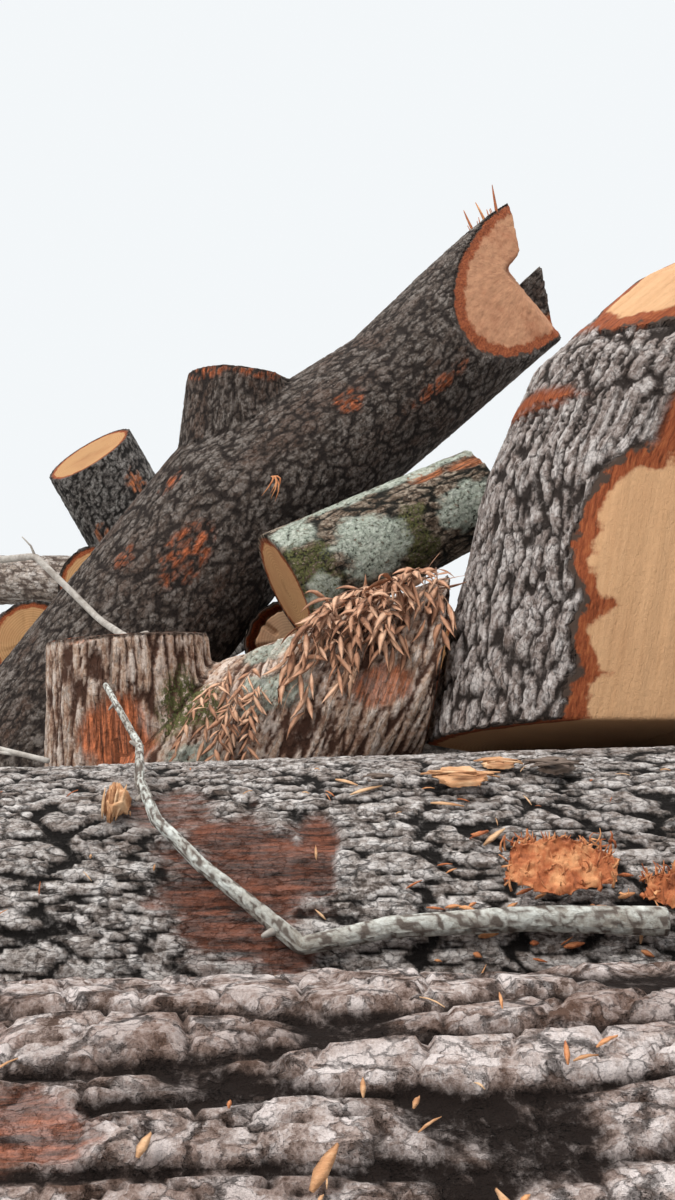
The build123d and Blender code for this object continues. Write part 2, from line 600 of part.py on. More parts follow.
os.makedirs("parts", exist_ok=True)
for label, part in heap.parts.items():
    placed = part.moved(Location(-middle))
    placed.label = label
    export_step(placed, f"parts/{label}.step")
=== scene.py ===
import logging
import math
from dataclasses import dataclass, field
from enum import Enum

import bpy
import numpy as np
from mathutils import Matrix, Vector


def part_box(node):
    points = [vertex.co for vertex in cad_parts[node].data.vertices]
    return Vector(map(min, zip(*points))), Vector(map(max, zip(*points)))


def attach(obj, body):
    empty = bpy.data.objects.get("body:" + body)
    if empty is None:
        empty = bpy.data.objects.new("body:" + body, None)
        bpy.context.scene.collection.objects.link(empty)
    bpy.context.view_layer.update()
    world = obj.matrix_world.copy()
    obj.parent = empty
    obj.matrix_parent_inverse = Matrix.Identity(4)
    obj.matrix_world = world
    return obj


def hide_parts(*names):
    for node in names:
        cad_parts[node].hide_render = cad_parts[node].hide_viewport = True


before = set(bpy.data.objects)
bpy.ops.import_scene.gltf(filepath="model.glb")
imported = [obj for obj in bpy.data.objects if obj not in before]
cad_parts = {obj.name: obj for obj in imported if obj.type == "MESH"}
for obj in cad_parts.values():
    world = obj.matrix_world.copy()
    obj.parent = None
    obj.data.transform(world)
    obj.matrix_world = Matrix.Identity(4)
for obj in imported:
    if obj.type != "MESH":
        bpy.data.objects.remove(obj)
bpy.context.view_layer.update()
log = logging.getLogger("heap")
Value = bpy.types.NodeSocket | float      # a number in a material: that of a node or a plain one
Colour = bpy.types.NodeSocket | tuple     # the same for a colour

# Metres, in the CAD model's frame. Bark is carved inwards from the CAD surfaces, so that the tops of
# its plates stay at the size of the solids.

OVAL = 0.018                # a stem's section is flattened by this share of its radius
LOBES = 0.010               # and its three lobes are as high as this share
CHECK_COUNT = 9             # drying checks in an end
BAND = 0.03                 # width of the inner bark that WoodFinish draws along a rim
FIBRE = (0.4, 0.014)        # length and width of the fibres of a ripped face
FIBRE_DEPTH = 0.003
END_LEAN = (0.6, 0.85)      # how squarely a face has to look along its stem to count as an end
OVERHANG = 0.03             # how far past its ends a stem still claims the faces of a forked piece
SECOND_STEM = (5.0, 7.0)    # shift of the bark's pattern on a forked piece's second stem, along and around
PATCH_EDGE = (1.15, 0.75)   # shares of a patch's reach between which its edge fades
DOUBLED = 0.00002           # vertices that are nearer to each other than this are one
BATCH = 20000               # points that are compared with a line in one go


# Numbers: steps, noise and cells.


def smooth(low: float, high: float, value: np.ndarray) -> np.ndarray:
    """Smooth step from 0 at low to 1 at high."""
    share = np.clip((value - low) / (high - low), 0.0, 1.0)
    return share * share * (3 - 2 * share)


def hashed(cells: np.ndarray, seed: int) -> np.ndarray:
    """Gives each whole-number cell a fixed value.

    Args:
        cells: whole numbers, last axis 2 or 3 long.
        seed: which set of values.

    Returns:
        Values from 0 to 1.
    """
    primes = (73856093, 19349663, 83492791)
    key = np.full(cells.shape[:-1], seed * 2654435761 % 4294967296, dtype=np.uint32)
    for axis in range(cells.shape[-1]):
        key = key ^ (cells[..., axis].astype(np.int64) * primes[axis]).astype(np.uint32)
    key = (key ^ (key >> 15)) * np.uint32(2246822519)
    key = (key ^ (key >> 13)) * np.uint32(3266489917)
    return (key ^ (key >> 16)).astype(np.float64) / 4294967295.0


def noise(points: np.ndarray, seed: int) -> np.ndarray:
    """Smooth noise from -1 to 1 over points with two or three coordinates."""
    base = np.floor(points)
    part = points - base
    ease = part * part * (3 - 2 * part)
    total = np.zeros(len(points))
    axes = points.shape[1]
    for corner in range(2 ** axes):
        bits = np.array([(corner >> axis) & 1 for axis in range(axes)])
        weight = np.prod(np.where(bits, ease, 1 - ease), axis=1)
        total += weight * hashed(base + bits, seed)
    return total * 2 - 1


def fractal(points: np.ndarray, seed: int, octaves: int = 3) -> np.ndarray:
    """Noise summed over finer and finer octaves, about -1 to 1."""
    total, reach = np.zeros(len(points)), 0.0
    for octave in range(octaves):
        total += noise(points * 2.0 ** octave, seed + octave) * 0.5 ** octave
        reach += 0.5 ** octave
    return total / reach


def cells(points: np.ndarray, seed: int) -> tuple[np.ndarray, np.ndarray]:
    """Cellular noise in the plane.

    Args:
        points: two coordinates each, one cell to a unit.
        seed: which layout.

    Returns:
        How much further the second nearest cell centre is than the nearest, and a value for the cell.
    """
    base = np.floor(points)
    first = np.full(len(points), 9.0)
    second = np.full(len(points), 9.0)
    value = np.zeros(len(points))
    for across in (-1, 0, 1):
        for along in (-1, 0, 1):
            cell = base + (along, across)
            centre = cell + np.stack([hashed(cell, seed), hashed(cell, seed + 1)], axis=1) * 0.82 + 0.09
            away = np.linalg.norm(points - centre, axis=1)
            nearer = away < first
            second = np.where(nearer, first, np.minimum(second, away))
            value = np.where(nearer, hashed(cell, seed + 2), value)
            first = np.where(nearer, away, first)
    return second - first, value


def graded(start: float, stop: float, fine: tuple[float, float], step: float, coarse: float) -> np.ndarray:
    """Positions that lie close together in one stretch and further apart away from it.

    Args:
        start: first position.
        stop: last position.
        fine: the stretch with the closest spacing.
        step: spacing there.
        coarse: widest spacing.

    Returns:
        Positions from start to stop.
    """
    marks = np.linspace(start, stop, 4000)
    off = np.maximum(np.maximum(fine[0] - marks, marks - fine[1]), 0)
    spacing = np.minimum(step + off * 0.12, coarse)
    count = np.concatenate([[0], np.cumsum((marks[1] - marks[0]) / spacing[1:])])
    rows = max(int(count[-1]), 4)
    return np.interp(np.linspace(0, count[-1], rows + 1), count, marks)


# Bark and its patches.


class Sort(Enum):
    """What a patch on a stem shows."""

    TORN = "torn"
    MOSS = "moss"
    LICHEN = "lichen"
    SCUFF = "scuff"


@dataclass(frozen=True)
class Patch:
    """A place on a stem that differs from its bark."""

    sort: Sort
    centre: tuple[float, float, float]
    reach: tuple[float, float]      # half its length along the stem, half its width around it
    strength: float = 1.0
    ragged: float = 0.35


@dataclass(frozen=True)
class Bark:
    """The relief of a bark: furrows between long ridges, cracks that part the ridges into blocks, grit."""

    ridge: float                                # spacing of the ridges around the stem
    plate: float                                # length of a ridge
    depth: float
    furrow: float = 0.2                         # how wide the furrows open
    block: tuple[float, float] = (0.05, 0.03)   # length and width of a block
    crack: float = 0.3                          # depth of the cracks, as a share
    wander: float = 0.6
    seed: int = 1

    def carve(self, along: np.ndarray, around: np.ndarray) -> tuple[np.ndarray, np.ndarray]:
        """Carves the bark.

        Args:
            along: place along the stem.
            around: place around it, in metres.

        Returns:
            Depth under the plates' tops, and height from 0 in a furrow to 1 on a plate.
        """
        place = np.stack([along, around], axis=1)
        sway = noise(place / (self.plate * 0.9, self.ridge * 2.4), self.seed) * self.wander
        sway += noise(place / (self.plate * 0.28, self.ridge * 0.8), self.seed + 5) * self.wander * 0.35
        slip = noise(place / (self.plate * 1.3, self.ridge * 1.5), self.seed + 9) * 0.4
        ragged = fractal(place / (self.block[0] * 0.5, self.block[1] * 0.4), self.seed + 11)
        net = np.stack([along / self.plate + slip, around / self.ridge + sway], axis=1)
        gap, rank = cells(net, self.seed + 20)
        height = smooth(0.02, self.furrow, gap + ragged * 0.14)
        shallow = noise(place / (self.plate * 1.7, self.ridge * 3.0), self.seed + 30)
        deep = self.depth * (0.86 + 0.14 * shallow)
        parts = place / self.block + np.stack([slip, sway * self.ridge / self.block[1]], axis=1)
        crack, tier = cells(parts, self.seed + 40)
        opened = 1 - smooth(0.0, 0.15, crack + ragged * 0.10)
        top = self.depth * (self.crack * opened + 0.16 * tier + 0.12 * rank + 0.15 * (1 + ragged))
        total = deep * (1 - height) + np.minimum(top, deep) * height
        return total, np.clip(1 - total / (self.depth * 0.72), 0, 1)


# Stems, wrapped or carved.


class Spine:
    """A line of stations with diameters, and its own lengthwise and sideways directions."""

    def __init__(self, points: list | np.ndarray, diameters: list, side: tuple = (0.0, 0.0, 1.0)) -> None:
        """Sets down the line.

        Args:
            points: stations.
            diameters: one at each station.
            side: direction from which the place around the stem is counted.
        """
        self.points = np.array(points, dtype=float)
        self.radii = np.array(diameters, dtype=float) / 2
        runs = np.linalg.norm(np.diff(self.points, axis=0), axis=1)
        self.marks = np.concatenate([[0], np.cumsum(runs)])
        self.length = float(self.marks[-1])
        self.side = np.array(side)

    def at(self, mark: np.ndarray) -> tuple[np.ndarray, np.ndarray]:
        """Points of the line and radii at lengths along it."""
        points = np.stack([np.interp(mark, self.marks, self.points[:, axis]) for axis in range(3)], axis=1)
        return points, np.interp(mark, self.marks, self.radii)

    def directions(self, mark: np.ndarray) -> tuple[np.ndarray, np.ndarray, np.ndarray]:
        """Directions along, to the side, and square to both, at lengths along it."""
        near = min(self.length * 0.06, float(self.radii.mean()) * 0.7)
        low = np.clip(mark - near, 0, self.length - 2 * near)
        along = self.at(low + 2 * near)[0] - self.at(low)[0]
        along /= np.linalg.norm(along, axis=1, keepdims=True)
        across = self.side - along * (along @ self.side)[:, None]
        across /= np.linalg.norm(across, axis=1, keepdims=True)
        return along, across, np.cross(along, across)

    def surface(self, mark: float, degrees: float, lift: float = 0.0) -> tuple[np.ndarray, np.ndarray]:
        """A point over the bark, and the direction outwards.

        Args:
            mark: length along the stem.
            degrees: turn around it.
            lift: height over its bark.

        Returns:
            The point and the unit vector.
        """
        one, turn = np.array([mark]), math.radians(degrees)
        centre, radius = self.at(one)
        _, across, square = self.directions(one)
        out = across[0] * math.cos(turn) + square[0] * math.sin(turn)
        return centre[0] + out * (radius[0] * float(swell(np.array(turn))) + lift), out

    def place(self, points: np.ndarray) -> tuple[np.ndarray, np.ndarray, np.ndarray, np.ndarray]:
        """Finds where points lie on the stem.

        Args:
            points: any points near it.

        Returns:
            Length along it, angle around it, distance from its line, and its radius there.
        """
        marks = np.linspace(0, self.length, 90)
        line = self.at(marks)[0]
        nearest = np.zeros(len(points), dtype=int)
        for start in range(0, len(points), BATCH):
            part = points[start:start + BATCH]
            away = np.linalg.norm(part[:, None] - line[None], axis=2)
            nearest[start:start + BATCH] = np.argmin(away, axis=1)
        along, across, square = self.directions(marks)
        away = points - line[nearest]
        slip = np.einsum("ij,ij->i", away, along[nearest])
        mark = marks[nearest] + slip
        away = away - along[nearest] * slip[:, None]
        angle = np.arctan2(np.einsum("ij,ij->i", away, square[nearest]),
                           np.einsum("ij,ij->i", away, across[nearest]))
        radius = self.at(np.clip(mark, 0, self.length))[1]
        return mark, angle, np.linalg.norm(away, axis=1), radius * swell(angle)


def swell(angle: np.ndarray) -> np.ndarray:
    """The out-of-round section of every stem."""
    return 1 - OVAL * np.cos(2 * angle) + LOBES * np.cos(3 * angle)


def mesh_arrays(piece: bpy.types.Object) -> tuple[np.ndarray, np.ndarray]:
    """Vertex places and normals of a piece."""
    count = len(piece.data.vertices)
    places, normals = np.empty(count * 3), np.empty(count * 3)
    piece.data.vertices.foreach_get("co", places)
    piece.data.vertex_normals.foreach_get("vector", normals)
    return places.reshape(-1, 3), normals.reshape(-1, 3)


def put_places(piece: bpy.types.Object, places: np.ndarray) -> None:
    """Moves a piece's vertices."""
    piece.data.vertices.foreach_set("co", np.ascontiguousarray(places, dtype=np.float32).ravel())
    piece.data.update()


def put_number(piece: bpy.types.Object, name: str, values: np.ndarray | list) -> None:
    """Stores one number a vertex under a name."""
    data = piece.data.attributes.new(name, "FLOAT", "POINT").data
    data.foreach_set("value", np.asarray(values, dtype=np.float32))


def put_values(piece: bpy.types.Object, values: dict, grain: np.ndarray) -> None:
    """Stores what the finishes read: one number a vertex under each name, and the place in the grain."""
    for name, value in values.items():
        put_number(piece, name, value)
    data = piece.data.attributes.new("grain", "FLOAT_VECTOR", "POINT").data
    data.foreach_set("vector", np.ascontiguousarray(grain, dtype=np.float32).ravel())


def only(piece: bpy.types.Object) -> None:
    """Deselects everything else and makes the piece active."""
    if bpy.context.object and bpy.context.object.mode != "OBJECT":
        bpy.ops.object.mode_set(mode="OBJECT")
    bpy.ops.object.select_all(action="DESELECT")
    piece.select_set(True)
    bpy.context.view_layer.objects.active = piece


def close_up(piece: bpy.types.Object) -> None:
    """Merges doubled vertices and turns every face outwards."""
    only(piece)
    bpy.ops.object.mode_set(mode="EDIT")
    bpy.ops.mesh.select_all(action="SELECT")
    bpy.ops.mesh.remove_doubles(threshold=DOUBLED)
    bpy.ops.mesh.normals_make_consistent(inside=False)
    bpy.ops.object.mode_set(mode="OBJECT")


def sheet_of(name: str, rows: int, columns: int) -> tuple[bpy.types.Object, np.ndarray]:
    """Adds a flat grid to be wrapped round a stem.

    Args:
        name: the piece's name.
        rows: vertices one way.
        columns: vertices the other way.

    Returns:
        The piece, and the vertex number at each row and column.
    """
    bpy.ops.object.select_all(action="DESELECT")
    bpy.ops.mesh.primitive_grid_add(x_subdivisions=columns - 1, y_subdivisions=rows - 1, size=2)
    piece = bpy.context.object
    piece.name = piece.data.name = name
    places, _ = mesh_arrays(piece)
    order = np.lexsort((np.round(places[:, 0], 6), np.round(places[:, 1], 6)))
    return piece, order.reshape(rows, columns)


def settled(values: np.ndarray, slots: np.ndarray) -> np.ndarray:
    """Puts rows of values at the vertex numbers in slots."""
    rows = np.empty_like(values)
    rows[slots] = values
    return rows


def lay(masks: dict, patch: Patch, away: np.ndarray, edge: np.ndarray) -> None:
    """Adds one patch to the masks.

    Args:
        masks: strength of every sort of patch at each vertex.
        patch: the patch.
        away: distance from its middle, as a share of its reach.
        edge: noise for its ragged edge.
    """
    inside = patch.strength * smooth(*PATCH_EDGE, away + patch.ragged * edge)
    masks[patch.sort] = np.maximum(masks[patch.sort], inside)


def patch_masks(patches: tuple, spine: Spine, mark: np.ndarray, around: np.ndarray, angle: np.ndarray,
                seed: int) -> dict:
    """Strength of every sort of patch at each vertex.

    Args:
        patches: the stem's patches.
        spine: the stem's line.
        mark: lengths along it.
        around: places around it, in metres.
        angle: angles around it.
        seed: for their ragged edges.

    Returns:
        One array under each sort.
    """
    masks = {sort: np.zeros(len(mark)) for sort in Sort}
    edge = fractal(np.stack([mark / 0.07, around / 0.04], axis=1), seed + 70, 4)
    for patch in patches:
        at, turn, _, radius = spine.place(np.array([patch.centre]))
        off = (angle - turn[0] + math.pi) % (2 * math.pi) - math.pi
        away = np.hypot((mark - at[0]) / patch.reach[0], off * radius[0] / patch.reach[1])
        lay(masks, patch, away, edge)
    return masks


def dress_bark(bark: Bark, mark: np.ndarray, around: np.ndarray, masks: dict) -> tuple[np.ndarray, dict]:
    """Relief of bark with its patches.

    Args:
        bark: the bark's relief.
        mark: lengths along the stem.
        around: places around it, in metres.
        masks: strength of every sort of patch.

    Returns:
        Depth to carve at each vertex, and the numbers for the finish.
    """
    depth, relief = bark.carve(mark, around)
    place = np.stack([mark, around], axis=1)
    fine = 0.0020 * (1 + fractal(place / (0.06, 0.010), bark.seed + 80))
    coarse = 0.0055 * (1 + noise(place / (0.16, 0.026), bark.seed + 84))
    fibres = fine + coarse
    torn = masks[Sort.TORN]
    depth = depth * (1 - torn) + (bark.depth * 0.5 + fibres) * torn
    scuff = masks[Sort.SCUFF] * smooth(0.25, 0.6, relief)
    tufts = masks[Sort.MOSS] * (0.5 + 0.5 * fractal(place / 0.012, bark.seed + 90))
    depth = np.maximum(depth - 0.004 * tufts - 0.003 * masks[Sort.LICHEN], 0)
    relief = relief * (1 - torn) + torn * np.clip(1.25 - fibres / 0.012, 0, 1)
    values = {"relief": relief, "red": np.maximum(torn, scuff), "moss": masks[Sort.MOSS],
              "lichen": masks[Sort.LICHEN]}
    return depth, values


@dataclass
class Stem:
    """A stem that is wrapped from one grid: sawn end, bark, sawn end."""

    name: str
    spine: Spine
    bark: Bark
    fine: tuple[float, float] = (0.0, 0.0)
    facing: tuple[float, float] = (0.0, 0.0)    # degrees around the stem that get the finest rows
    step: float = 0.022
    coarse: float = 0.024
    patches: tuple = ()
    end_plane: tuple | None = None              # point and normal of a far end that is sawn askew
    checks: float = 0.0                         # depth of drying checks in the ends
    cap_step: float = 0.02                      # spacing of the rings of an end's mesh
    gap: tuple | None = None                    # bark's thickness, width and depth of a gap inside it

    def rows(self) -> tuple[np.ndarray, np.ndarray]:
        """Lengths along the stem and shares of its radius, from the middle of one end to the other."""
        bark = graded(0, self.spine.length, self.fine, self.step, self.coarse)
        shares = np.linspace(0, 1, max(int(self.spine.radii[0] / self.cap_step), 6))[:-1]
        marks = np.concatenate([np.zeros(len(shares)), bark, np.full(len(shares), self.spine.length)])
        return marks, np.concatenate([shares, np.ones(len(bark)), shares[::-1]])

    def build(self) -> bpy.types.Object:
        """Builds the stem's mesh with the numbers that its finish reads."""
        marks, shares = self.rows()
        radius = float(self.spine.radii.mean())
        low, high = (math.radians(value) * radius for value in self.facing)
        turns = graded(-math.pi * radius, math.pi * radius, (low, high), self.step, self.coarse) / radius
        piece, order = sheet_of(self.name, len(marks), len(turns))
        mark, angle = np.repeat(marks, len(turns)), np.tile(turns, len(marks))
        share = np.repeat(shares, len(turns))
        centre, middle_radius = self.spine.at(mark)
        along, across, square = self.spine.directions(mark)
        outer = middle_radius * swell(angle)
        masks = patch_masks(self.patches, self.spine, mark, angle * radius, angle, self.bark.seed)
        depth, values = dress_bark(self.bark, mark, angle * radius, masks)
        rim = outer * (1 - share)
        on_end = share < 1
        reach = (outer - np.minimum(depth, outer * 0.3)) * share
        out = across * np.cos(angle)[:, None] + square * np.sin(angle)[:, None]
        places = centre + out * reach[:, None]
        if self.end_plane is not None:
            places = self.trim(places, mark, along)
        if self.gap is not None:
            places += along * (self.gap_depth(angle, share, outer) * on_end * (mark <= 0))[:, None]
        if self.checks:
            inwards = np.where(mark > 0, -1, 1)
            places += along * (self.check_depth(angle, share, outer) * on_end * inwards)[:, None]
        values = dict(values, wood=on_end * 1.0, rim=rim, endgrain=on_end * 1.0)
        grain = np.stack([mark, angle * radius, reach], axis=1)
        slots = order.ravel()
        put_places(piece, settled(places, slots))
        values = {name: settled(value, slots) for name, value in values.items()}
        put_values(piece, values, settled(grain, slots))
        close_up(piece)
        return piece

    def trim(self, places: np.ndarray, mark: np.ndarray, along: np.ndarray) -> np.ndarray:
        """Draws the stem's far part back to the plane of an end that is sawn askew.

        Args:
            places: the vertices.
            mark: length along the stem of each.
            along: direction of the stem at each.

        Returns:
            The vertices' new places.
        """
        point, normal = (np.array(value, dtype=float) for value in self.end_plane)
        over = ((places - point) @ normal) / (along @ normal)
        cap = mark >= self.spine.length - 1e-9
        near = np.clip(1 - (self.spine.length - mark) / 0.5, 0, 1)
        shift = np.where(cap, over, np.maximum(over + (self.spine.length - mark), 0) * near)
        return places - along * shift[:, None]

    def gap_depth(self, angle: np.ndarray, share: np.ndarray, outer: np.ndarray) -> np.ndarray:
        """Depth of the crescent gap between a loose ring of bark and the wood, at the near end.

        Args:
            angle: angle around the stem of each vertex.
            share: its share of the radius.
            outer: the radius there.

        Returns:
            Depth at each vertex.
        """
        thick, width, depth = self.gap
        ring = outer - thick
        reach = outer * share
        offset = np.hypot(reach * np.sin(angle) - width / 2, reach * np.cos(angle) + width / 3)
        open_gap = smooth(-0.002, 0.002, offset - (ring - width / 2)) * smooth(0.002, -0.002, reach - ring)
        return open_gap * depth

    def check_depth(self, angle: np.ndarray, share: np.ndarray, outer: np.ndarray) -> np.ndarray:
        """How deep drying checks go at each vertex of a sawn end.

        Args:
            angle: angle around the stem of each vertex.
            share: its share of the radius.
            outer: the radius there.

        Returns:
            Depth at each vertex.
        """
        depth = np.zeros(len(angle))
        for number in range(CHECK_COUNT):
            picks = np.array([[number, 1], [number, 2], [number, 3]])
            turn, start, stop = hashed(picks, self.bark.seed + 60)
            off = (angle - turn * 2 * math.pi + math.pi) % (2 * math.pi) - math.pi
            width = 0.0035 + 0.012 * np.abs(share - start * 0.5)
            inside = smooth(width.max() * 1.2, 0.0, np.abs(off) * share * outer)
            depth = np.maximum(depth, inside * smooth(start * 0.4, start * 0.4 + 0.1, share)
                               * smooth(0.75 + 0.25 * stop, 0.6 + 0.2 * stop, share))
        return depth * self.checks


@dataclass
class Carved:
    """A stem of a shape that no grid wraps: its solid is meshed evenly and its bark is carved in."""

    name: str
    node: str
    spines: tuple[Spine, ...]
    bark: Bark
    voxel: float = 0.010
    patches: tuple = ()
    soften: int = 2
    inner: float = 0.03               # width of the band of inner bark along the cuts
    flush: float = 0.006              # how far bark may lie from the stem's round before it is a cut
    barked: tuple = ()                # places whose flat face bears bark: middle and reach
    cuts: tuple = ()                  # places where the bark is cut away: middle and reach
    ringed: bool = True               # whether its ends show rings; otherwise they are ripped
    slant: float = 0.0                # degrees that the ridges of its second stem lie askew

    def build(self) -> bpy.types.Object:
        """Builds the stem's mesh with the numbers that its finish reads."""
        piece = even_copy(self.node, self.name, self.voxel, self.soften)
        places, normals = mesh_arrays(piece)
        which, mark, angle, away, radius, along = self.nearest(places)
        lean = np.abs(np.einsum("ij,ij->i", normals, along))
        ends = smooth(*END_LEAN, lean)
        wood = np.maximum(smooth(self.flush, self.flush * 1.6, radius - away), ends)
        for middle, reach in self.barked:
            wood = wood * smooth(reach * 0.85, reach, np.linalg.norm(places - middle, axis=1))
        mean_radius = float(np.mean([spine.radii.mean() for spine in self.spines]))
        run = mark + which * SECOND_STEM[0]
        girth = angle * mean_radius + which * SECOND_STEM[1]
        turn = math.radians(self.slant) * (which > 0)
        run, girth = run * np.cos(turn) + girth * np.sin(turn), girth * np.cos(turn) - run * np.sin(turn)
        depth, values = dress_bark(self.bark, run, girth, self.masks(places, along))
        ragged = fractal(places / 0.03, self.bark.seed + 6, 4)
        rim = np.maximum(radius - away, 0) * (BAND / self.inner)
        for middle, reach in self.cuts:
            off = np.linalg.norm(places - middle, axis=1) + ragged * 0.02
            cut = smooth(reach, reach * 0.95, off)
            rim = np.where(cut > 0, np.maximum(rim, (reach - off) * 0.6), rim)
            wood = np.maximum(wood, cut)
        across = np.stack([away * np.cos(angle), away * np.sin(angle)], axis=1)
        streaks = np.concatenate([mark[:, None] / FIBRE[0], across / FIBRE[1]], axis=1)
        torn = FIBRE_DEPTH * (1 + noise(streaks, self.bark.seed + 3))
        depth = depth * (1 - wood) + torn * (1 - ends * self.ringed) * wood
        red = values["red"] * (1 - wood)
        values = dict(values, wood=wood, rim=rim, endgrain=ends * self.ringed, red=red)
        put_places(piece, places - normals * depth[:, None])
        put_values(piece, values, np.stack([run, girth, away], axis=1))
        return piece

    def nearest(self, places: np.ndarray) -> tuple[np.ndarray, ...]:
        """Finds the stem that every vertex belongs to, and its place on that stem.

        Args:
            places: the vertices.

        Returns:
            The stem's number, length along it, angle around it, distance from its line, its radius there, and
            the direction along it.
        """
        found = [spine.place(places) for spine in self.spines]
        misfits = []
        for (mark, _, away, radius), spine in zip(found, self.spines):
            beyond = np.maximum(np.maximum(-mark, mark - spine.length) - OVERHANG, 0)
            misfits.append(np.abs(away - radius) + 10 * beyond)
        which = np.argmin(np.stack(misfits), axis=0)
        mark, angle, away, radius = (np.take_along_axis(
            np.stack([one[part] for one in found]), which[None], axis=0)[0] for part in range(4))
        along = np.zeros_like(places)
        for number, spine in enumerate(self.spines):
            direction = spine.directions(np.clip(mark, 0, spine.length))[0]
            along[which == number] = direction[which == number]
        return which, mark, angle, away, radius, along

    def masks(self, places: np.ndarray, along: np.ndarray) -> dict:
        """Strength of every sort of patch at each vertex.

        Args:
            places: the vertices.
            along: direction of the stem at each.

        Returns:
            One array under each sort.
        """
        masks = {sort: np.zeros(len(places)) for sort in Sort}
        edge = fractal(places / 0.07, self.bark.seed + 70, 4)
        for patch in self.patches:
            off = places - np.array(patch.centre)
            length = np.einsum("ij,ij->i", off, along)
            width = np.sqrt(np.maximum(np.einsum("ij,ij->i", off, off) - length ** 2, 0))
            away = np.hypot(length / patch.reach[0], width / patch.reach[1])
            lay(masks, patch, away, edge)
        return masks


def even_copy(node: str, name: str, voxel: float, soften: int) -> bpy.types.Object:
    """A copy of a CAD node, meshed evenly.

    Args:
        node: the CAD node.
        name: the new piece's name.
        voxel: size of its faces.
        soften: how often its edges are smoothed.

    Returns:
        The piece.
    """
    piece = bpy.data.objects.new(name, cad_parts[node].data.copy())
    piece.data.name = name
    piece.data.materials.clear()
    bpy.context.collection.objects.link(piece)
    close_up(piece)
    only(piece)
    remesh = piece.modifiers.new("even", "REMESH")
    remesh.mode, remesh.voxel_size = "VOXEL", voxel
    bpy.ops.object.modifier_apply(modifier="even")
    soft = piece.modifiers.new("soft", "SMOOTH")
    soft.factor, soft.iterations = 0.5, soften
    bpy.ops.object.modifier_apply(modifier="soft")
    return piece


# Finishes.


